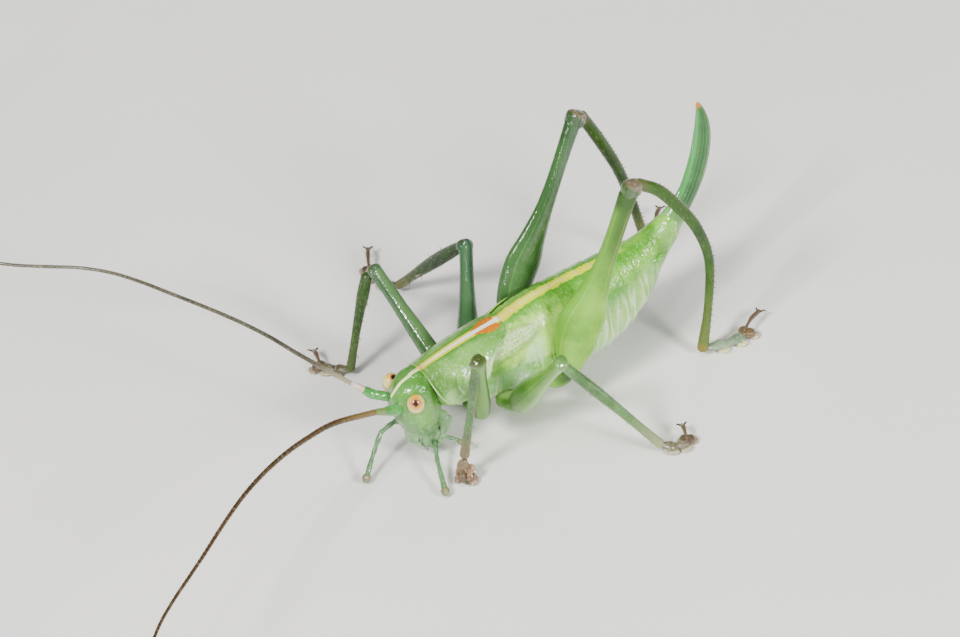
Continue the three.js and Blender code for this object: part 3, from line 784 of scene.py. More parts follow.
def skullPart():
    heights = np.array([s[0] for s in skull["sections"]])
    order = np.linspace(0, 1, len(heights))
    curves = [through(np.stack([order, [s[k] for s in skull["sections"]]], axis=1)) for k in range(4)]
    angle = np.linspace(0, 2 * math.pi, skull["around"], endpoint=False)
    caps = np.linspace(math.pi / 2, 0, 14)[:-1]
    rows = [(0.0, math.sin(s), math.cos(s)) for s in caps]
    rows += [(t, 0.0, 1.0) for t in np.linspace(0, 1, skull["rows"])]
    rows += [(1.0, -math.sin(s), math.cos(s)) for s in caps[::-1]]
    rings, place = [], []
    for t, push, scale in rows:
        height, front, back, half = (float(c(t)) for c in curves)
        x = half * np.cos(angle) * max(scale, 0.02)
        y = (front + back) / 2 + (back - front) / 2 * np.sin(angle) * max(scale, 0.02)
        level = height + push * (0.1 if push > 0 else 0.16)
        rings.append(np.stack([x, y, np.full(len(angle), level)], axis=1))
        place.append(np.stack([np.full(len(angle), t), np.cos(angle), np.sin(angle)], axis=1))
    return closedGrid(np.array(rings), np.array(place))


def headShape():
    head = skullPart()
    dab(head, (0, -1.45, 4.1), (0.24, 0.35, 0.24), (0, -0.16, 0.02))  # the cone between the feelers
    for side in (1, -1):
        dab(head, (side * 0.42, -1.5, 3.62), (0.3, 0.3, 0.3), (side * 0.02, -0.1, 0.03))
        dab(head, (side * 0.42, -1.62, 3.66), (0.15, 0.2, 0.15), (0, 0.1, 0))  # the feeler's socket
        dab(head, (side * 0.98, -0.88, 3.92), (0.36, 0.36, 0.36), -0.06)
        dab(head, (side * 0.98, -0.88, 3.4), (0.3, 0.34, 0.16), 0.03)
        dab(head, (side * 0.85, 0.1, 2.5), (0.4, 0.4, 0.7), 0.05)
        dab(head, (side * 0.86, -0.7, 2.5), (0.3, 0.3, 0.45), 0.045)
        groove(head, [(-1.05, 3.3), (-0.98, 2.7), (-0.8, 2.1), (-0.62, 1.6)], 0.05, 0.035, where=side,
               lip=0.012)
        groove(head, [(0.3, 3.5), (0.14, 2.8), (-0.02, 2.3), (-0.16, 1.7)], 0.06, 0.06, where=side, lip=0.03)
        groove(head, [(-0.5, 3.1), (-0.42, 2.4), (-0.3, 1.8)], 0.09, 0.018, where=side)
        turn = np.linspace(0, 2 * math.pi, 40)
        eyeRing = np.stack([-0.86 + 0.43 * np.cos(turn), 3.66 + 0.46 * np.sin(turn)], axis=1)
        groove(head, eyeRing, 0.05, -0.035, where=side)
    groove(head, [(-0.75, 2.05), (-0.3, 2.2), (0, 2.23), (0.3, 2.2), (0.75, 2.05)], 0.05, 0.045,
           view="front", where=0.0, lip=0.015)
    groove(head, [(-0.06, 4.0), (-0.05, 3.2), (-0.04, 2.4)], 0.07, 0.02, view="front", where=-0.5, lip=0.01)
    return head


def headPaint():
    made = cuticle("headCapsule", ("3a7420", "569236", "8cc46c"),
                   {"rough": 0.42, "grain": 0.12, "flecks": 0.3, "grainDepth": 0.009})
    t = made["tree"]
    crownLine = times(t, stripe(made, [(-1.75, 0.06), (0.1, 0.12)], 0.035, 0.025),
                      ramp(t, made["z"], 3.95, 4.12))
    tint = layered(made, [
        (cloud(made, (-0.4, 3.1), (0.7, 0.8), 0.6), 0.45, "7cb455"),
        (ramp(t, noise(t, made["spot"], 0.45), 0.5, 0.68), 0.35, "4c9048"),
        (crownLine, 1.0, "f2fbb4"),
        (ramp(t, plus(t, made["z"], times(t, made["y"], 0.5)), 1.9, 1.2), 0.4, "8cae80"),
    ])
    glitter(made, cloud(made, (-0.6, 4.3), (0.8, 0.35), 0.8, 0.2), 0.006, 0.07)
    # pale specks laid on top: painted glints
    return closeMaterial(made, glintSpeckled(made, tint, 0.65, 0.12))


makePiece("headCapsule", headShape(), headPaint(), ["head"])


# Eyes: each a dome with a fine net of facets and a dark spot where it looks.
eye = {
    "radii": (0.38, 0.405, 0.45),
    "inset": 0.01,
    "around": 96,
    "rows": 60,
    "facet": 0.028,
    "facetDepth": 0.003,
    "spot": {"left": (0.70, -0.36, 0.64), "right": (0.46, 0.2, 0.86)},  # the way the dark spot faces
    "tones": {"left": ("b4741e", "cb9a40"), "right": ("b88a2c", "d0b468")},  # near the spot and farther
    "outerTone": "ddd288",
    "edgeTone": "a8741c",
    "edge": {"left": (1.05, 1.3), "right": (1.5, 1.7)},  # angles where the brown edge starts and is full
}
for sideName, side in sides.items():
    low, high = (fromRow(c[:]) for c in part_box("eye_" + sideName))
    centre = (low + high) / 2
    centre[0] -= side * eye["inset"]
    dome = blob((0, 0, 0), (1, 1, 1), eye["around"], eye["rows"])
    dome["place"] = dome["points"].copy()
    dome["points"] = centre + dome["points"] * eye["radii"]
    material, tree, shader = startMaterial(sideName + "Eye")
    spot = bodySpot(tree)[0]
    place = node(tree, "ShaderNodeAttribute", attribute_name="place").outputs["Vector"]
    gaze = tuple(unit(eye["spot"][sideName]))
    toward = node(tree, "ShaderNodeVectorMath", {0: place, 1: gaze},
                  operation="DOT_PRODUCT").outputs["Value"]
    away = node(tree, "ShaderNodeMath", {0: toward}, operation="ARCCOSINE").outputs[0]
    mottle = noise(tree, spot, 0.13, 4.0, 0.65)
    uneven = plus(tree, away, times(tree, minus(tree, mottle, 0.5), 0.34))
    upper = node(tree, "ShaderNodeSeparateXYZ", {0: place}).outputs[2]
    streak = ramp(tree, noise(tree, spot, 0.075, 3.0, 0.7), 0.56, 0.66)
    tint = blend(tree, ramp(tree, uneven, 0.3, 0.66), *eye["tones"][sideName])
    for amount, tone in (
        (ramp(tree, uneven, 0.6, 1.0), eye["outerTone"]),
        (ramp(tree, uneven, *eye["edge"][sideName]), eye["edgeTone"]),
        (times(tree, ramp(tree, upper, 0.82, 0.98), ramp(tree, away, 0.5, 0.8)), "dba814"),  # a yellow top
        (times(tree, times(tree, streak, 0.8), ramp(tree, away, 1.0, 0.4)), "8a4e18"),  # brown streaks
        (ramp(tree, uneven, 0.42, 0.3), "7c300c"),  # the spot's reddish edge
        (ramp(tree, uneven, 0.33, 0.22), "2c0a03"),  # and its dark middle
    ):
        tint = blend(tree, amount, tint, tone)
    tree.links.new(tint, shader.inputs["Base Color"])
    facets = cells(tree, spot, eye["facet"], randomness=0.15)
    tree.links.new(bumps(tree, [(facets, eye["facetDepth"])]), shader.inputs["Normal"])
    setSockets(shader, {
        "Roughness": 0.35, "Specular IOR Level": 0.3, "Coat Weight": 1.0, "Coat Roughness": 0.04,
        "Subsurface Weight": 0.2, "Subsurface Radius": (1.0, 0.5, 0.25), "Subsurface Scale": 0.0002,
    })
    makePiece(sideName + "Eye", dome, material, ["eye_" + sideName])
print("stage: head and eyes")


# Mouth: upper lip, jaws, a wavy plate behind each cheek and small round lobes.
mouth = {
    "lipWidth": [0.5, 0.5, 0.44, 0.32, 0.14],
    "lipDepth": [0.17, 0.19, 0.16, 0.12, 0.06],
    "lip": [(0.02, -0.84, 1.85), (0.06, -0.86, 1.45), (0.14, -0.74, 1.08), (0.24, -0.52, 0.76),
            (0.3, -0.36, 0.6)],
    "jaw": [(0.5, -0.3, 1.9), (0.48, -0.38, 1.35), (0.3, -0.4, 0.85)],
    "cheekPlate": [(0.76, 0.28, 2.6), (0.75, 0.46, 2.12), (0.69, 0.48, 1.66), (0.56, 0.3, 1.32)],
    # small round lobes: place and size
    "drops": [((0.43, -0.26, 0.96), 0.15), ((0.5, -0.34, 1.2), 0.17), ((0.58, 0.3, 1.22), 0.17),
              ((0.62, 0.14, 1.04), 0.14), ((0.5, 0.02, 0.88), 0.14), ((0.44, 0.28, 1.0), 0.15),
              ((0.42, -0.14, 0.78), 0.12), ((0.3, 0.1, 0.95), 0.2)],
}
lip = limb(mouth["lip"], mouth["lipWidth"], mouth["lipDepth"], 60, 48, (0, -1, 0.2))
groove(lip, [(-0.6, 1.5), (0, 1.4), (0.6, 1.5)], 0.05, 0.06, view="front", where=0.5, lip=0.015)
groove(lip, [(0, 0.95), (0, 0.4)], 0.06, 0.07, view="front", where=0.5)
jawParts = [blob((0.05, 0.0, 1.45), (0.68, 0.46, 0.6), 40, 28)]
wavy = lambda t, a: 0.035 * np.sin(t * 17) * np.clip(np.sin(a), 0, 1)
for side in (1, -1):
    onSide = lambda points: [(side * x, y, z) for x, y, z in points]
    jawParts.append(limb(onSide(mouth["jaw"]), [0.2, 0.22, 0.1], [0.3, 0.28, 0.14], 30, 24, (0, -1, 0)))
    jawParts.append(limb(onSide(mouth["cheekPlate"]), [0.12, 0.15, 0.14, 0.1], [0.2, 0.3, 0.3, 0.18],
                         60, 32, (0, 1, 0), bump=wavy))
    for spot, size in mouth["drops"]:
        jawParts.append(blob(onSide([spot])[0], (size, size, size * 1.15), 20, 14))
lipMade = cuticle("mouth", ("8f8488", "b3a6ab", "ded6d8"), {"rough": 0.4, "grain": 0.12, "soft": 0.4})
lipTint = layered(lipMade, [(ramp(lipMade["tree"], lipMade["z"], 0.98, 1.3), 1.0, "6f9464")])
# pale specks laid on top: painted glints
lipTint = glintSpeckled(lipMade, lipTint, 0.6, 0.12)
makePiece("upperLip", lip, closeMaterial(lipMade, lipTint), ["labrum"])
jawMade = cuticle("jaws", ("4c8040", "74a468", "c0dcb8"),
                  {"rough": 0.35, "grain": 0.12, "soft": 0.45, "grainDepth": 0.011})
makePiece("jaws", joined(jawParts), closeMaterial(jawMade), ["mouthparts"])

# Palps: slim joints that bend sharply, the last one swelling to a pale knob.
palps = {
    "maxillary": {
        "left": [(0.62, -0.1, 1.15), (1.42, -0.58, 0.86), (2.8, -1.19, 0.3)],
        "right": [(-0.6, -0.3, 1.3), (-1.0, -1.0, 1.75), (-0.95, -1.78, 1.62), (-0.74, -2.38, 1.02),
                  (-0.24, -3.24, 0.3)],
        "thin": 0.09, "thick": 0.12, "knob": 0.2,
    },
    "labial": {
        "left": [(0.5, 0.2, 1.2), (0.88, 0.58, 1.06), (1.28, 0.85, 0.9)],
        "right": [(-0.5, 0.2, 1.2), (-0.85, 0.62, 0.9), (-1.05, 0.9, 0.55)],
        "thin": 0.075, "thick": 0.1, "knob": 0.15,
    },
}


def palpPaint():
    made = cuticle("palps", ("40663e", "5c8658", "a8c4a0"),
                   {"rough": 0.3, "grain": 0.12, "wrinkle": 0.004, "grainDepth": 0.004, "wet": 0.8})
    t = made["tree"]
    along = partPlace(t)[0]
    return closeMaterial(made, layered(made, [
        (ramp(t, along, 0.8, 0.96), 1.0, "7c7a54"),
        (ramp(t, along, 0.97, 1.03), 1.0, "c9c8b4"),
    ]))


def palpPart(route, thin, thick, size):
    route = np.array(route)
    jointWidths = [thin * 0.9, thick, thin, thick * 0.95]
    lastWidths = [thin, thin, thick, size * 0.6, size * 0.92]
    parts = []
    for k, (a, b) in enumerate(zip(route[:-1], route[1:])):
        final = k == len(route) - 2
        rod = limb([a, (a + b) / 2 + [0, 0, 0.02], b], lastWidths if final else jointWidths, None, 60, 20)
        rod["place"][:, 0] = rod["place"][:, 0] * 0.9 if final else 0.3
        parts.append(rod)
    ahead = unit(route[-1] - route[-2])
    knob = blob(route[-1] - ahead * 0.05, (size,) * 3, 24, 18)
    knob["place"] = np.tile([0.95, 0, 0], (len(knob["points"]), 1))
    knob["place"][:, 0] += 0.08 * smoothStep((knob["points"] - route[-1]) @ ahead, 0.0, size)
    return joined(parts + [knob])


palpMaterial = palpPaint()
for kind, look in palps.items():
    for sideName in sides:
        palp = palpPart(look[sideName], look["thin"], look["thick"], look["knob"])
        makePiece(kind + "Palp" + sideName.title(), palp, palpMaterial, [kind + "_palp_" + sideName])
print("stage: mouth and palps")


# Feelers: a thick first joint, a short second one and a long ringed whip.
feelers = {
    "left": {
        "base": [(0.40, -1.3, 3.55), (0.46, -1.75, 3.78), (0.54, -2.12, 4.0), (0.58, -2.26, 4.08)],
        "width": [0.2, 0.25, 0.24, 0.21, 0.17],
        "joint": [(0.57, -2.22, 4.06), (0.6, -2.45, 4.2), (0.62, -2.7, 4.34)],
        "jointWidth": [0.17, 0.165, 0.13],
        "jointTones": ("5f7a3c", "86914f", "b9b884"),
        "whip": [0.135, 0.105, 0.085, 0.072, 0.065, 0.06, 0.055, 0.05],
        "whipTones": ("3a2a18", "4e3a22", "8f8c70"),
        "ringTone": "2a1e10",
        "startTone": "6a5630",
    },
    "right": {
        "base": [(-0.38, -1.25, 3.66), (-0.5, -1.62, 3.9), (-0.72, -1.98, 4.08), (-0.92, -2.2, 4.3)],
        "width": [0.17, 0.22, 0.205, 0.22, 0.18],
        "joint": [(-0.9, -2.18, 4.28), (-1.05, -2.36, 4.46), (-1.3, -2.5, 4.56)],
        "jointWidth": [0.15, 0.16, 0.12],
        "jointTones": ("b89a92", "d9c4bc", "f6ece8"),
        "whip": [0.1, 0.09, 0.082, 0.075, 0.07, 0.065, 0.06, 0.055],
        "whipTones": ("3e3a30", "5c5848", "8f8c70"),
        "ringTone": "26221a",
        "startTone": "8f8a70",
    },
}
whipRing = 0.26  # length of one ring
whipLengths = ("base", "inner", "outer", "tip")
scapeMaterial = closeMaterial(cuticle("feelerBase", ("30782e", "4a9846", "88cc88"),
                                      {"rough": 0.38, "grain": 0.12, "soft": 0.35, "grainDepth": 0.011}))


def whipLine(look, prefix):  # from the joint's end through the CAD's four lengths
    start = np.array(look["joint"][-1])
    points = [start]
    for length in whipLengths:
        piece = middleLine(prefix + length, 7, start)
        points.extend(piece[1:] if length == "base" else piece)
        start = piece[-1]
    return spline(np.array(points), 140)


def ringedWhip(line, radii):
    length = np.linalg.norm(np.diff(line, axis=0), axis=1).sum()
    rings = int(length / whipRing)
    thickness = eased(radii)

    def bump(t, a):
        s = (t * rings) % 1.0
        return float(thickness(t)) * (0.97 + 0.09 * math.sin(math.pi * s) ** 0.7)
    whip = limb(line, [0, 0], None, rings * 4 + 1, 10, bump=bump, capSteps=2)
    whip["place"][:, 1] = whip["place"][:, 0]
    whip["place"][:, 0] *= rings
    return whip


def whipPaint(name, look):
    made = cuticle(name, look["whipTones"],
                   {"rough": 0.42, "grain": 0.12, "soft": 0.1, "wrinkle": 0.003, "grainDepth": 0.002,
                    "wet": 0.5})
    t = made["tree"]
    ring, along = partPlace(t)[:2]
    return closeMaterial(made, layered(made, [
        (band(t, sums(t, "FRACT", ring), 0.8, 1.2, 0.1), ramp(t, along, 0.01, 0.08, 0.1, 0.7),
         look["ringTone"]),
        (ramp(t, along, 0.06, 0.0), 1.0, look["startTone"]),
    ]))


for sideName in sides:
    prefix = "antenna_" + sideName + "_"
    look = feelers[sideName]
    knobbly = lambda t, a: 0.009 * np.sin(t * 31 + a * 2) * math.sin(math.pi * min(max(t, 0), 1))
    scape = limb(look["base"], look["width"], None, 60, 32, bump=knobbly)
    makePiece(sideName + "FeelerBase", scape, scapeMaterial, [prefix + "scape"])
    jointMade = cuticle(sideName + "FeelerJoint", look["jointTones"],
                        {"rough": 0.35, "grain": 0.12, "soft": 0.35})
    joint = limb(look["joint"], look["jointWidth"], None, 26, 24)
    makePiece(sideName + "FeelerJoint", joint, closeMaterial(jointMade))
    whip = ringedWhip(whipLine(look, prefix), look["whip"])
    makePiece(sideName + "Whip", whip, whipPaint(sideName + "Whip", look),
              [prefix + length for length in whipLengths])
print("stage: feelers")


# Egg-laying blade, with the small parts at its root.
blade = {
    "line": [(0, 12.6, 4.66), (-0.03, 13.25, 5.08), (-0.1, 13.97, 5.56), (-0.17, 14.7, 6.26),
             (-0.26, 15.28, 7.1), (-0.36, 15.7, 7.98), (-0.47, 15.95, 8.86), (-0.54, 15.99, 9.6),
             (-0.56, 15.93, 10.08)],
    "half": [0.8, 0.72, 0.58, 0.54, 0.56, 0.54, 0.49, 0.34, 0.09],
    "thick": [0.4, 0.33, 0.27, 0.23, 0.21, 0.2, 0.18, 0.13, 0.05],
}


def bladeBump(t, angle):
    across = np.sin(angle)
    return (-0.04 * bell(across, 0.12, 0.07) + 0.014 * bell(across, -0.05, 0.08)
            - 0.025 * bell(across, -0.72, 0.06)) * (1 - 0.5 * t)


def bladePaint():
    made = cuticle("blade", ("164c16", "2c6c28", "6ca868"),
                   {"rough": 0.36, "grain": 0.12, "flecks": 0.25, "wrinkle": 0.005, "grainDepth": 0.003,
                    "wet": 0.6})
    t = made["tree"]
    along, _, up = partPlace(t)
    ribs = sums(t, "SINE", times(t, up, 17.0))
    tint = layered(made, [
        (ramp(t, up, 0.5, 0.8), 0.6, "4c9c54"),
        (band(t, up, -0.2, 0.3, 0.1), 0.65, "084a18"),
        (band(t, up, -0.74, -0.66, 0.03), 0.6, "a5c060"),
        (ramp(t, up, -0.75, -0.9), 0.4, "a9c9a4"),
        (ramp(t, along, 0.3, 0.02), 1.0, "86bb5c"),
        (ramp(t, along, 0.955, 0.985), 0.95, "b8692a"),
        (ramp(t, ribs, 0.5, 1.0), 0.12, "8cc080"),
        (ramp(t, plus(t, up, times(t, along, 0.1)), -0.78, -0.9), 0.35, "e0ecd0"),
    ])
    glitter(made, ramp(t, along, 0.3, 0.1), 0.018, 0.16)
    return closeMaterial(made, tint)


bladePart = limb(blade["line"], blade["thick"], blade["half"], 200, 72, (0, -1, 0.5), bladeBump, 4)
makePiece("blade", bladePart, bladePaint(), ["ovipositor"])

tail = {
    "cercus": [(0.72, 11.75, 4.3), (0.88, 12.1, 4.46), (0.86, 12.5, 4.7), (0.74, 12.85, 4.95)],
    "cercusWidth": [0.12, 0.11, 0.08, 0.03],
    "plate": [(0, 10.7, 1.9), (0, 11.3, 2.3), (0, 11.9, 2.85), (0, 12.3, 3.3)],
    "plateWidth": [0.46, 0.58, 0.46, 0.2],
    "plateDepth": [0.13, 0.18, 0.16, 0.08],
}
tailMaterial = closeMaterial(cuticle("tailParts", ("4f9226", "7cb848", "c5e697"),
                                     {"rough": 0.4, "grain": 0.12, "soft": 0.35, "grainDepth": 0.011}))
for sideName, side in sides.items():
    cercus = limb(np.array(tail["cercus"]) * [side, 1, 1], tail["cercusWidth"], None, 40, 24)
    makePiece(sideName + "Cercus", cercus, tailMaterial, ["cercus_" + sideName])
plateUnder = limb(tail["plate"], tail["plateWidth"], tail["plateDepth"], 40, 36)
makePiece("subgenitalPlate", plateUnder, tailMaterial, ["subgenital_plate"])
print("stage: tail")


# Wing pads: small leaf-shaped scales with a raised net of veins, from under the pronotum.
wingPad = {
    "upper": [(2.9, 4.7), (3.5, 4.84), (4.1, 4.95), (4.7, 4.98), (5.2, 4.96), (5.5, 4.86)],
    "lower": [(2.9, 3.95), (3.5, 3.98), (4.1, 4.06), (4.7, 4.24), (5.2, 4.48), (5.5, 4.72)],
    "lift": 0.05,
    "thickness": 0.04,
    "rows": 110,
    "columns": 200,
    "cells": 120,
    "veinWidth": 0.028,
    "veinHeight": 0.016,
    "mainVeins": (0.28, 0.52, 0.76),
}
wingStart, wingEnd = wingPad["upper"][0][0], wingPad["upper"][-1][0]
veinSeeds = np.random.default_rng(3).uniform((wingStart, 3.9), (wingEnd, 5.0), (wingPad["cells"], 2))


def wingPaint():
    made = cuticle("wingPad", ("72ac3a", "8cc04c", "bede88"),
                   {"rough": 0.3, "grain": 0.13, "soft": 0.35, "flecks": 0.6, "pits": 0.0,
                    "grainDepth": 0.012, "broad": 0.4})
    _, inner, vein = partPlace(made["tree"])
    glitter(made, inner, 0.016, 0.12)
    return closeMaterial(made, layered(made, [(vein, 0.4, "dcf2b8")]))


def wingSurface(side):
    u, v = np.meshgrid(np.linspace(0, 1, wingPad["columns"]), np.linspace(0, 1, wingPad["rows"]))
    y = wingStart + (wingEnd - wingStart) * u
    high, low = through(wingPad["upper"])(y), through(wingPad["lower"])(y)
    z = low + (high - low) * v
    half, top, bottom = (through(trunk[k])(y) for k in ("half", "top", "bottom"))
    lift = wingPad["lift"] + 0.05 * u
    x = side * (half + lift) * sideways((z - (top + bottom) / 2) / ((top - bottom) / 2 + lift))
    inward = np.minimum(np.minimum(v, 1 - v) * (high - low), np.minimum(u, 1 - u) * 2.6)
    inner = smoothStep(inward, 0.0, 0.16).ravel()
    flat = np.stack([y, z], axis=-1).reshape(-1, 2)
    gaps = np.sort(np.linalg.norm(flat[:, None] - veinSeeds[None], axis=2), axis=1)
    vein = bell(gaps[:, 1] - gaps[:, 0], 0, wingPad["veinWidth"])
    for spot in wingPad["mainVeins"]:
        vein = np.maximum(vein, bell((v - spot) * (high - low), 0, wingPad["veinWidth"] * 0.7).ravel())
    pad = part(np.stack([x, y, z], axis=-1).reshape(-1, 3),
               gridFaces(wingPad["rows"], wingPad["columns"], closed=False),
               np.stack([u.ravel(), inner, vein * inner], axis=1))
    normals = normalsOf(pad)
    outward = normals * np.sign(normals[:, :1] * side)
    pad["points"] += outward * (vein * inner * wingPad["veinHeight"])[:, None]
    return pad


wingMaterial = wingPaint()
for sideName, side in sides.items():
    piece = makePiece(sideName + "WingPad", wingSurface(side), wingMaterial, ["wing_" + sideName])
    thicken(piece, wingPad["thickness"], 0)
print("stage: wing pads")


# Legs: coxa, thigh with keels, knee with its lobes, spined shin, foot with pads and claws.
legs = {
    "frontLeft": {
        "root": (0.95, 1.7, 2.6), "hip": (1.52, 1.85, 2.13),
        "knee": (3.82, 0.86, 7.01), "bend": (-1, -0.3, 0),
        "shin": [(3.72, 0.72, 6.7), (3.2, 0.45, 4.2), (2.57, 0.16, 1.5)],
        "shinWidth": [0.2, 0.2, 0.17, 0.175, 0.19, 0.22],
        "foot": [(2.56, 0.12, 1.2), (2.56, 0.08, 0.8), (2.62, 0.0, 0.34), (2.84, -0.3, 0.24)],
        "footSize": 1.45, "footTone": "rosy", "claw": 0.5,
    },
    "middleLeft": {
        "root": (1.1, 3.35, 1.75), "hip": (1.66, 3.66, 1.72),
        "knee": (5.01, 4.01, 5.83), "bend": (0.2, 1, 0),
        "shin": [(5.1, 4.25, 5.55), (5.95, 5.85, 2.95), (6.72, 7.3, 0.5)],
        "shinWidth": [0.22, 0.25, 0.24, 0.21, 0.2, 0.22],
        "foot": [(6.72, 7.3, 0.45), (7.1, 7.78, 0.27), (7.22, 8.36, 0.27), (6.4, 8.75, 0.4)],
        "footSize": 1.25, "footTone": "brown", "claw": 1.0,
    },
    "hindLeft": {
        "root": (1.1, 5.5, 2.0), "hip": (1.85, 6.02, 1.87),
        "knee": (3.74, 9.44, 11.65), "bend": (0, 1, 0),
        "shin": [(3.7, 9.9, 11.5), (3.68, 10.75, 10.7), (3.62, 11.65, 9.3), (3.52, 12.5, 7.6),
                 (3.28, 13.1, 5.3), (3.1, 12.87, 2.68), (2.94, 12.44, 0.52)],
        "shinWidth": [0.26, 0.27, 0.26, 0.24, 0.215, 0.195, 0.19, 0.25],
        "foot": [(2.94, 12.44, 0.45), (3.08, 13.16, 0.26), (3.3, 14.25, 0.26), (2.7, 15.75, 0.45)],
        "footSize": 1.4, "footTone": "pale", "claw": 1.0,
    },
    "frontRight": {
        "root": (-0.9, 1.9, 2.6), "hip": (-1.5, 2.15, 2.2),
        "knee": (-5.8, 1.87, 5.63), "bend": (-0.6, -1, 0),
        "shin": [(-6.02, 1.5, 5.3), (-6.4, 0.92, 2.9), (-6.57, 0.26, 0.52)],
        "shinWidth": [0.25, 0.27, 0.22, 0.19, 0.18, 0.2],
        "foot": [(-6.57, 0.26, 0.45), (-7.25, -0.12, 0.26), (-7.95, -0.58, 0.26), (-8.75, -0.25, 0.4)],
        "footSize": 1.2, "footTone": "brown", "claw": 1.0,
    },
    "middleRight": {
        "root": (-1.0, 3.35, 2.1), "hip": (-1.65, 3.4, 2.0),
        "knee": (-5.21, 6.17, 4.93), "bend": (-1, -0.2, 0),
        "shin": [(-5.5, 6.1, 4.75), (-7.6, 5.65, 2.75), (-9.8, 5.06, 0.5)],
        "shinWidth": [0.24, 0.3, 0.31, 0.27, 0.21, 0.21],
        "foot": [(-9.8, 5.06, 0.45), (-10.85, 4.68, 0.26), (-12.1, 4.85, 0.26), (-12.9, 5.5, 0.45)],
        "footSize": 1.1, "footTone": "brown", "claw": 1.0,
    },
    "hindRight": {
        "root": (-1.1, 5.2, 2.3), "hip": (-1.8, 5.35, 2.5),
        "knee": (-2.26, 10.79, 11.24), "bend": (0, 1, 0),
        "shin": [(-2.3, 11.15, 11.0), (-2.58, 12.0, 9.1), (-2.95, 12.95, 6.75), (-3.45, 13.75, 4.1),
                 (-4.03, 14.6, 0.52)],
        "shinWidth": [0.26, 0.27, 0.25, 0.23, 0.21, 0.22],
        "foot": [(-4.03, 14.6, 0.45), (-4.6, 15.05, 0.26), (-5.4, 15.95, 0.26), (-6.15, 16.8, 0.4)],
        "footSize": 1.2, "footTone": "pale", "claw": 1.0,
    },
}
# Of 200 even steps down a shin, "spines" are the ones with a pair of spines. spineSide is 1 where
# they face along the leg's bend, and -1 where they face against it.
legShapes = {
    "front": {
        "depth": [0.42, 0.44, 0.4, 0.35, 0.33, 0.34], "width": [0.4, 0.4, 0.36, 0.31, 0.29, 0.3],
        "kneeSize": (0.34, 0.34, 0.32), "kneeShift": 0.03, "kneeBack": 0.06, "kneePower": 0.8,
        "coxa": [0.34, 0.36, 0.34],
        "spines": range(56, 186, 38), "spineLength": (0.2, 0.28), "spineLean": 0.8, "spineSide": -1,
    },
    "middle": {
        "depth": [0.56, 0.6, 0.5, 0.38, 0.33, 0.33], "width": [0.5, 0.5, 0.4, 0.32, 0.29, 0.3],
        "kneeSize": (0.34, 0.34, 0.32), "kneeShift": 0.04, "kneeBack": 0.06, "kneePower": 0.8,
        "coxa": [0.42, 0.48, 0.42],
        "spines": range(56, 186, 38), "spineLength": (0.2, 0.28), "spineLean": 0.8, "spineSide": -1,
    },
    "hind": {
        "depth": [0.55, 0.88, 0.99, 0.69, 0.45, 0.37, 0.37, 0.41],
        "width": [0.4, 0.5, 0.48, 0.4, 0.33, 0.3, 0.29, 0.3],
        "kneeSize": (0.42, 0.43, 0.33), "kneeShift": 0.06, "kneeBack": 0.16, "kneePower": 0.6,
        "coxa": [0.5, 0.55, 0.45],
        "spines": range(20, 190, 5), "spineLength": (0.1, 0.16), "spineLean": 0.5, "spineSide": 1,
    },
}


def pairOf(name):
    return name.removesuffix("Left").removesuffix("Right")


def thighBump(outer, hind):
    def ridges(t, angle):
        across = np.sin(angle)
        outside = smoothStep(np.cos(angle) * outer, 0.0, 0.3)  # 1 on the face that looks out
        middle = float(np.interp(t, [0, 0.15, 0.6, 0.85, 1], [0, 1, 1, 0.6, 0]))
        if not hind:
            return 0.02 * np.cos(angle * 2) * middle - 0.02 * bell(across, 0.0, 0.12) * middle * outside
        flat = -0.05 * smoothStep(np.cos(angle) * outer, 0.2, 1.0) * (1 - 0.7 * smoothStep(t, 0.55, 0.9))
        lines = (0.03 * bell(across, -0.61, 0.045) - 0.025 * bell(across, -0.5, 0.06)
                 - 0.025 * bell(across, 0.715, 0.035))
        keels = 0.03 * bell(across, -0.985, 0.02) + 0.012 * bell(across, 0.985, 0.02)
        return flat + (lines * outside + keels) * middle
    return ridges


# The right legs' tones are darker than the left legs': painted shade, as the two sides are alike in colour.
legTones = {
    "frontLeft": {
        "thigh": ("2c5c12", "46781e", "88b456"), "shin": ("264c1e", "3f6c34", "94b48c"),
        "knee": ("303e16", "4a5a26", "8c9868"),
        "upper": "4c7828", "edge": "7cac4c", "shinEnd": "70563c",
    },
    "middleLeft": {
        "thigh": ("3f741c", "5c902c", "a4d078"), "shin": ("305822", "4c7838", "a9c89a"),
        "knee": ("3c6a28", "5c8a42", "b0cc98"),
        "upper": "5c8c34", "edge": "acd47c", "shinEnd": "8f8f68",
    },
    "hindLeft": {
        "thigh": ("5f9a24", "84bc3c", "b9dd78"), "shin": ("1e3c0a", "2f5212", "5a802c"),
        "knee": ("544a38", "74684e", "c8bca8"),
        "upper": "2a4c10", "rib": "8a9a2c", "edge": "b5d888", "shinEnd": "5c6a30",
    },
    "frontRight": {
        "thigh": ("24481a", "36582a", "789c68"), "shin": ("1a300c", "2a4616", "5c7c48"),
        "knee": ("2c3a1c", "46563a", "8c9878"),
        "upper": "38583a", "edge": "60844c", "shinEnd": "4a5a2c",
    },
    "middleRight": {
        "thigh": ("24401e", "38522e", "6c9068"), "shin": ("14280a", "203a10", "44622c"),
        "knee": ("2c3a1c", "445230", "848c68"),
        "upper": "30503c", "edge": "4c7848", "shinEnd": "5a5a30",
    },
    "hindRight": {
        "thigh": ("345a2c", "507646", "8cb084"), "shin": ("1a3008", "2a460c", "5a7430"),
        "knee": ("50482e", "6c6044", "bcb098"),
        "upper": "2a4a26", "rib": "5f7c2c", "edge": "7cac64", "shinEnd": "6a7030",
    },
}


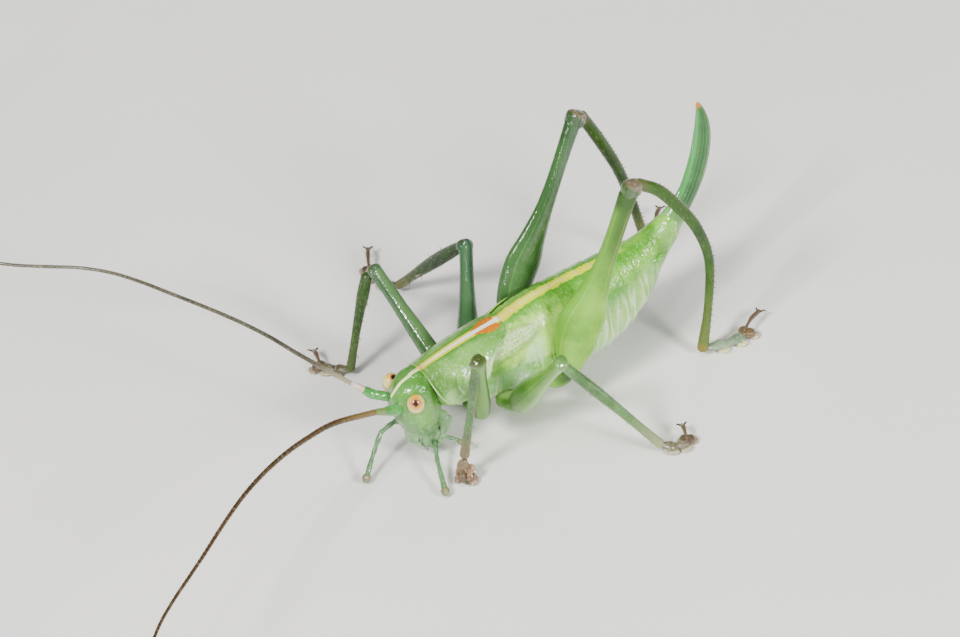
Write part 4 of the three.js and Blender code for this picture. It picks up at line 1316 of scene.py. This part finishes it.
def thighPaint(name):
    look = legTones[name]
    skin = {"rough": 0.42, "grain": 0.13, "flecks": 0.25, "wet": 0.75, "wrinkle": 0.007, "shine": 0.08}
    if name in ("hindLeft", "frontLeft"):
        skin.update({"wet": 0.4, "grainDepth": 0.006, "wrinkle": 0.005})
    made = cuticle(name + "Thigh", look["thigh"], skin)
    t = made["tree"]
    along, _, up = partPlace(t)
    if name == "hindRight":
        glitter(made, band(t, up, -0.5, 0.6, 0.2), 0.02, 0.13)
    if pairOf(name) != "hind":
        return closeMaterial(made, layered(made, [
            (ramp(t, along, 0.1, 0.9, 0.15, 0.75), 1.0, look["upper"]),
            (ramp(t, sums(t, "ABSOLUTE", up), 0.6, 0.95), 0.4, look["edge"]),
        ]))
    paintedSheen = times(t, band(t, up, -0.4, 0.5, 0.2), ramp(t, along, 0.45, 0.8))
    return closeMaterial(made, layered(made, [
        (ramp(t, along, 0.35, 0.85), 0.9, look["upper"]),
        (ramp(t, up, 0.0, 0.7), 0.4, look["thigh"][0]),
        (band(t, up, 0.74, 1.2, 0.03), 0.6, look["thigh"][0]),
        (band(t, up, 0.69, 0.73, 0.03), 0.25, look["edge"]),
        (band(t, up, -0.66, -0.55, 0.03), 0.45, look["rib"]),
        (ramp(t, up, -0.95, -0.985), 0.6, look["edge"]),
        (ramp(t, along, 0.88, 0.96), 1.0, look["upper"]),
        # a painted bluish grey sheen on the narrow part
        (paintedSheen, 0.12 if name == "hindRight" else 0.06, "64806c"),
    ]))


def shinPaint(name):
    look = legTones[name]
    wet = 0.9 if name in ("frontLeft", "middleLeft") else 0.35
    made = cuticle(name + "Shin", look["shin"],
                   {"rough": 0.42, "grain": 0.12, "flecks": 0.12, "pits": 0.08, "soft": 0.12,
                    "wrinkle": 0.004, "grainDepth": 0.003, "wet": wet, "shine": 0.05})
    t = made["tree"]
    along = partPlace(t)[0]
    layers = [
        (ramp(t, along, 0.06, 0.0), 0.35, look["knee"][1]),
        (ramp(t, along, 0.6, 1.0), 0.8, look["shinEnd"]),
    ]
    if pairOf(name) == "hind":
        layers.append((ramp(t, along, 0.965, 1.0), 0.5, "8a6c28"))
    return closeMaterial(made, layered(made, layers))


def kneePaint(name):
    look = legTones[name]
    made = cuticle(name + "Knee", look["knee"],
                   {"rough": 0.32, "grain": 0.11, "flecks": 0.4, "grainDepth": 0.014})
    if pairOf(name) == "hind":
        glitter(made, 1.0, 0.035, 0.11)
    t = made["tree"]
    ahead, bent, _ = partPlace(t)
    outer = plus(t, times(t, ahead, 0.85), times(t, bent, 0.45))
    return closeMaterial(made, blend(t, ramp(t, outer, -0.05, 0.5), look["upper"], made["tint"]))


# The parts of a foot, each with the number that its points carry, by which the paint knows it.
footNumbers = {"joint": 0.1, "lobe": 0.35, "pad": 0.56, "disc": 0.74, "end": 0.9, "claw": 1.0}
footTones = {
    "pale": {"joint": ("64785c", "8a9e80", "d8e4d4"), "lobe": "c6c494", "pad": "644f34", "disc": "a89c84",
             "end": "584838"},
    "brown": {"joint": ("4c4634", "6c6650", "bcb8a0"), "lobe": "a8a084", "pad": "524434", "disc": "98886c",
              "end": "584634"},
    "rosy": {"joint": ("54402c", "725a42", "b8a490"), "lobe": "8a6c54", "pad": "6c4e3a", "disc": "8e7462",
             "end": "54402c"},
}


def footPaint(name):
    tones = footTones[name]
    made = cuticle(name + "Foot", tones["joint"],
                   {"rough": 0.3, "grain": 0.13, "grainDepth": 0.011, "wet": 0.9})
    glitter(made, 1.0, 0.014, 0.12)
    t = made["tree"]
    number = partPlace(t)[0]
    return closeMaterial(made, layered(made, [
        (ramp(t, number, 0.22, 0.3), 1.0, tones["lobe"]),
        (ramp(t, number, 0.42, 0.49), 1.0, tones["pad"]),
        (ramp(t, number, 0.62, 0.69), 1.0, tones["disc"]),
        (ramp(t, number, 0.78, 0.85), 1.0, tones["end"]),
        (ramp(t, number, 0.94, 0.98), 1.0, "402e18"),
    ]))


footMaterials = {name: footPaint(name) for name in footTones}
spineMaterial = closeMaterial(cuticle("spine", ("6f4a1c", "8a6830", "b59a60"),
                                      {"rough": 0.35, "grain": 0.12, "soft": 0.2, "wrinkle": 0.002,
                                       "grainDepth": 0.002}))


def spike(root, tip, thick):
    line = spline([root, (np.asarray(root) + tip) / 2, tip], 5)
    return limb(line, [thick, thick * 0.7, thick * 0.08], None, 5, 6, capSteps=1)


# A foot: two oblong joints between flat lobes, a cluster of pads, a slim raised joint and claws.
def footPart(route, size, claw):
    steps = 80
    run = spline(route, steps)
    flatAhead = unit(np.gradient(run, axis=0) * [1, 1, 0.15])
    across = unit(np.cross(flatAhead, [0, 0, 1.0]))
    at = lambda t: int(round(t * (steps - 1)))
    parts = []

    def mark(p, kind):
        p["place"] = np.tile([footNumbers[kind], 0, 0], (len(p["points"]), 1)).astype(float)
        parts.append(p)

    def pad(t, shift, radii, kind, drop=0.0):
        k = at(t)
        spot = run[k] + across[k] * shift
        spot[2] = max(radii[2] + 0.02, spot[2] - drop)
        axes = [across[k], flatAhead[k], np.cross(across[k], flatAhead[k])]
        mark(blob(spot, radii, 22, 14, axes), kind)

    for start, end in ((0.06, 0.36), (0.3, 0.58)):
        k = np.linspace(at(start), at(end), 4).astype(int)
        line = run[k] + [0, 0, 0.02]
        line[:, 2] = np.maximum(line[:, 2], 0.2)
        widths = np.array([0.12, 0.17, 0.22, 0.12]) * size
        mark(limb(line, widths, [0.12, 0.15, 0.18, 0.1], 24, 24), "joint")
        for side in (1, -1):
            pad((start + end) / 2 + 0.05, side * 0.19 * size, (0.13 * size, 0.28, 0.08), "lobe", 0.1)
    for side in (1, -1):
        pad(0.63, side * 0.1 * size, (0.19 * size, 0.27, 0.2), "pad")
        pad(0.67, side * 0.24 * size, (0.14 * size, 0.26, 0.1), "disc", 0.2)
    pad(0.58, 0.0, (0.17 * size, 0.24, 0.2), "pad")
    rise = np.array([0, 0, 0.12])
    top = run[at(0.6)] + rise * 1.6
    end = run[at(0.96)] + rise
    bend = (top + end) / 2 + rise * 1.2
    mark(limb([top, bend, end], [0.07, 0.075, 0.11, 0.1], None, 30, 16), "end")
    ahead, side = unit(end - bend), across[at(0.96)]
    for turn in (1, -1):
        root = end + side * turn * 0.06
        bent = root + (ahead * 0.14 + side * turn * 0.14 + np.array([0, 0, 0.05])) * claw
        tip = bent + (ahead * 0.1 + side * turn * 0.05 - np.array([0, 0, 0.14])) * claw
        mark(limb(spline([root, bent, tip], 10), [0.05, 0.035, 0.006], None, 12, 8, capSteps=1), "claw")
    return joined(parts)


# A rounded box, flat on top, that the thigh runs into, with a lobe on each side of it.
def kneePart(centre, axes, shape):
    size = shape["kneeSize"]
    cap = blob((0, 0, 0), (1, 1, 1), 56, 40)
    boxy = np.sign(cap["points"]) * np.abs(cap["points"]) ** shape["kneePower"]
    flare = 1 + 0.12 * cap["points"][:, :1]
    cap["points"] = centre + (boxy * size * np.hstack([np.ones_like(flare), flare, flare])) @ axes
    lobe = lambda side: blob(centre + axes[2] * side * size[2] * 0.75 + axes[1] * size[1] * 0.35,
                             (size[0] * 0.7, size[1] * 0.55, 0.12), 32, 20, axes)
    return joined([facingOut(cap), lobe(1), lobe(-1)])


# Two rows of spines along the shin, and two spurs at its end.
def spinesPart(name, axle, bend):
    leg, shape = legs[name], legShapes[pairOf(name)]
    steps = 200
    run = spline(spline(leg["shin"], 60), steps)
    going = unit(np.gradient(run, axis=0))
    width = eased(leg["shinWidth"])
    rng = random.Random(name)
    spikes = []
    for k in shape["spines"]:
        facing = unit(np.cross(going[k], axle))
        facing = facing * np.sign(facing @ bend) * shape["spineSide"]
        for row in (1, -1):
            lean = unit(facing + axle * row * 0.6)
            root = run[k] + lean * float(width(k / (steps - 1))) * 0.9
            tip = root + unit(lean + going[k] * shape["spineLean"]) * rng.uniform(*shape["spineLength"])
            spikes.append(spike(root, tip, 0.022))
    for row in (1, -1):
        root = np.array(leg["shin"][-1]) + axle * row * 0.12
        spikes.append(spike(root, root + unit(going[-1] + axle * row * 0.4) * 0.26, 0.035))
    return joined(spikes)


def buildLeg(name):
    leg, pair = legs[name], pairOf(name)
    shape, hind = legShapes[pair], pair == "hind"
    sideName = name.removeprefix(pair).lower()
    prefix = pair + "_" + sideName + "_"
    root, hip, knee = (np.array(leg[k]) for k in ("root", "hip", "knee"))
    along = lambda t: hip + (knee - hip) * t
    thighLine = [along(0.06), along(0.5), along(0.98)]
    if hind:
        thighLine = [along(0.07), along(0.27) + [0, -0.2, 0.07], along(0.6), along(0.96)]
    thigh = limb(thighLine, shape["width"], shape["depth"], 170 if hind else 110, 72,
                 bump=thighBump(-sides[sideName], hind), capSteps=9)
    thighMaterial = thighPaint(name)
    makePiece(name + "Thigh", thigh, thighMaterial, [prefix + "femur"])
    coxa = limb([root, (root + hip) / 2, along(0.04)], shape["coxa"], None, 50, 48)
    makePiece(name + "Coxa", coxa, thighMaterial, [prefix + "coxa"])

    reach = unit(knee - hip)
    bend = np.array(leg["bend"], float)
    bend = unit(bend - reach * (bend @ reach))
    axle = unit(np.cross(reach, bend))
    centre = knee + bend * shape["kneeShift"] - reach * shape["kneeBack"]
    kneeBox = kneePart(centre, np.array([reach, bend, axle]), shape)
    makePiece(name + "Knee", kneeBox, kneePaint(name))
    shin = limb(spline(leg["shin"], 60), leg["shinWidth"], None, 150, 40)
    makePiece(name + "Shin", shin, shinPaint(name), [prefix + "tibia"])
    foot = footPart(leg["foot"], leg["footSize"], leg["claw"])
    makePiece(name + "Foot", foot, footMaterials[leg["footTone"]], [prefix + "tarsus"])
    makePiece(name + "Spines", spinesPart(name, axle, bend), spineMaterial)


for name in legs:
    buildLeg(name)
print("stage: legs")


# Short hairs on the limbs. In the OFBake map each is a small patch at its root's place, on a
# sheet where every limb is unrolled into its own strip.
coat = {
    "span": (0.03, 0.97),  # the stretch of a limb that carries hairs
    "thick": 0.006, "sink": 0.015,
    "lean": 0.8, "stray": 0.12,  # how far hairs lie along the limb, and how untidily
    "lengths": (0.6, 1.3),  # shortest and longest, beside the length asked for
    "strips": 32, "patch": 0.003,  # strips on the sheet, and a patch's size as a share of it
}
coatParts, coatSpots = [], []
rng = np.random.default_rng(7)


def addHairs(line, width, depth, count, length):  # count hairs of about this length on a limb
    strip = len(coatParts)
    steps = 200
    centre = spline(line, steps)
    ahead = unit(np.gradient(centre, axis=0))
    across = unit(np.cross((0, 0, 1.0), ahead))
    over = np.cross(ahead, across)
    t = rng.uniform(*coat["span"], count)
    turn = rng.uniform(0, 2 * math.pi, count)
    k = (t * (steps - 1)).astype(int)
    w, d = (np.asarray(eased(v)(t), float)[:, None] for v in (width, depth or width))
    c, s = np.cos(turn)[:, None], np.sin(turn)[:, None]
    outward = unit(across[k] * c / w + over[k] * s / d)
    root = centre[k] + across[k] * w * c + over[k] * d * s - outward * coat["sink"]
    aim = unit(outward + ahead[k] * coat["lean"] + rng.normal(0, coat["stray"], (count, 3)))
    reach = length * rng.uniform(*coat["lengths"], (count, 1))
    first = unit(np.cross(aim, ahead[k] + 0.01))
    second = np.cross(aim, first)
    points, spots = [], []
    for share, thin in ((0.0, 1.0), (0.55, 0.7)):
        for corner in range(3):
            a = corner * 2 * math.pi / 3
            ring = (first * math.cos(a) + second * math.sin(a)) * coat["thick"] * thin
            points.append(root + aim * reach * share + ahead[k] * reach * 0.06 * share + ring)
            spots.append((math.cos(a) * thin, math.sin(a) * thin))
    points.append(root + aim * reach + ahead[k] * reach * 0.2)
    spots.append((0.0, 0.0))
    points = np.stack(points, axis=1).reshape(-1, 3)
    home = np.stack([(strip + 0.1 + 0.8 * turn / (2 * math.pi)) / coat["strips"], 0.02 + 0.96 * t], axis=1)
    place = home[:, None] + np.array(spots)[None] * coat["patch"] / 2
    faces = []
    for n in range(count):
        a = n * 7
        for corner in range(3):
            b = (corner + 1) % 3
            faces.append((a + corner, a + b, a + 3 + b, a + 3 + corner))
            faces.append((a + 3 + corner, a + 3 + b, a + 6))
    coatParts.append(part(points, faces))
    coatSpots.append(place.reshape(-1, 2))


for name, leg in legs.items():
    hip, knee = np.array(leg["hip"]), np.array(leg["knee"])
    shape = legShapes[pairOf(name)]
    addHairs([hip + (knee - hip) * t for t in (0.06, 0.5, 0.98)], shape["width"], shape["depth"], 120, 0.08)
    addHairs(leg["shin"], leg["shinWidth"], None, 300, 0.13)
    addHairs(leg["foot"], [0.16 * leg["footSize"]] * 2, None, 60, 0.14)
for sideName in sides:
    addHairs(feelers[sideName]["base"], feelers[sideName]["width"], None, 40, 0.09)
    addHairs(palps["maxillary"][sideName], [0.09, 0.1, 0.12, 0.14], None, 90, 0.1)
    addHairs(palps["labial"][sideName], [0.08, 0.09, 0.1], None, 30, 0.08)
addHairs(blade["line"], blade["thick"], blade["half"], 90, 0.07)
hairMade = cuticle("hair", ("6f7c48", "8f9a62", "c4c89c"),
                   {"rough": 0.4, "soft": 0.1, "wrinkle": 0.001, "grainDepth": 0.001, "wet": 0.5})
hairPiece = makePiece("hairs", joined(coatParts), closeMaterial(hairMade))
bakeSpots = np.concatenate(coatSpots)
sheet = hairPiece.data.uv_layers.new(name="OFBake")
corners = np.empty(len(hairPiece.data.loops), dtype=np.int32)
hairPiece.data.loops.foreach_get("vertex_index", corners)
sheet.data.foreach_set("uv", bakeSpots[corners].astype(np.float32).ravel())
print("stage: hairs")
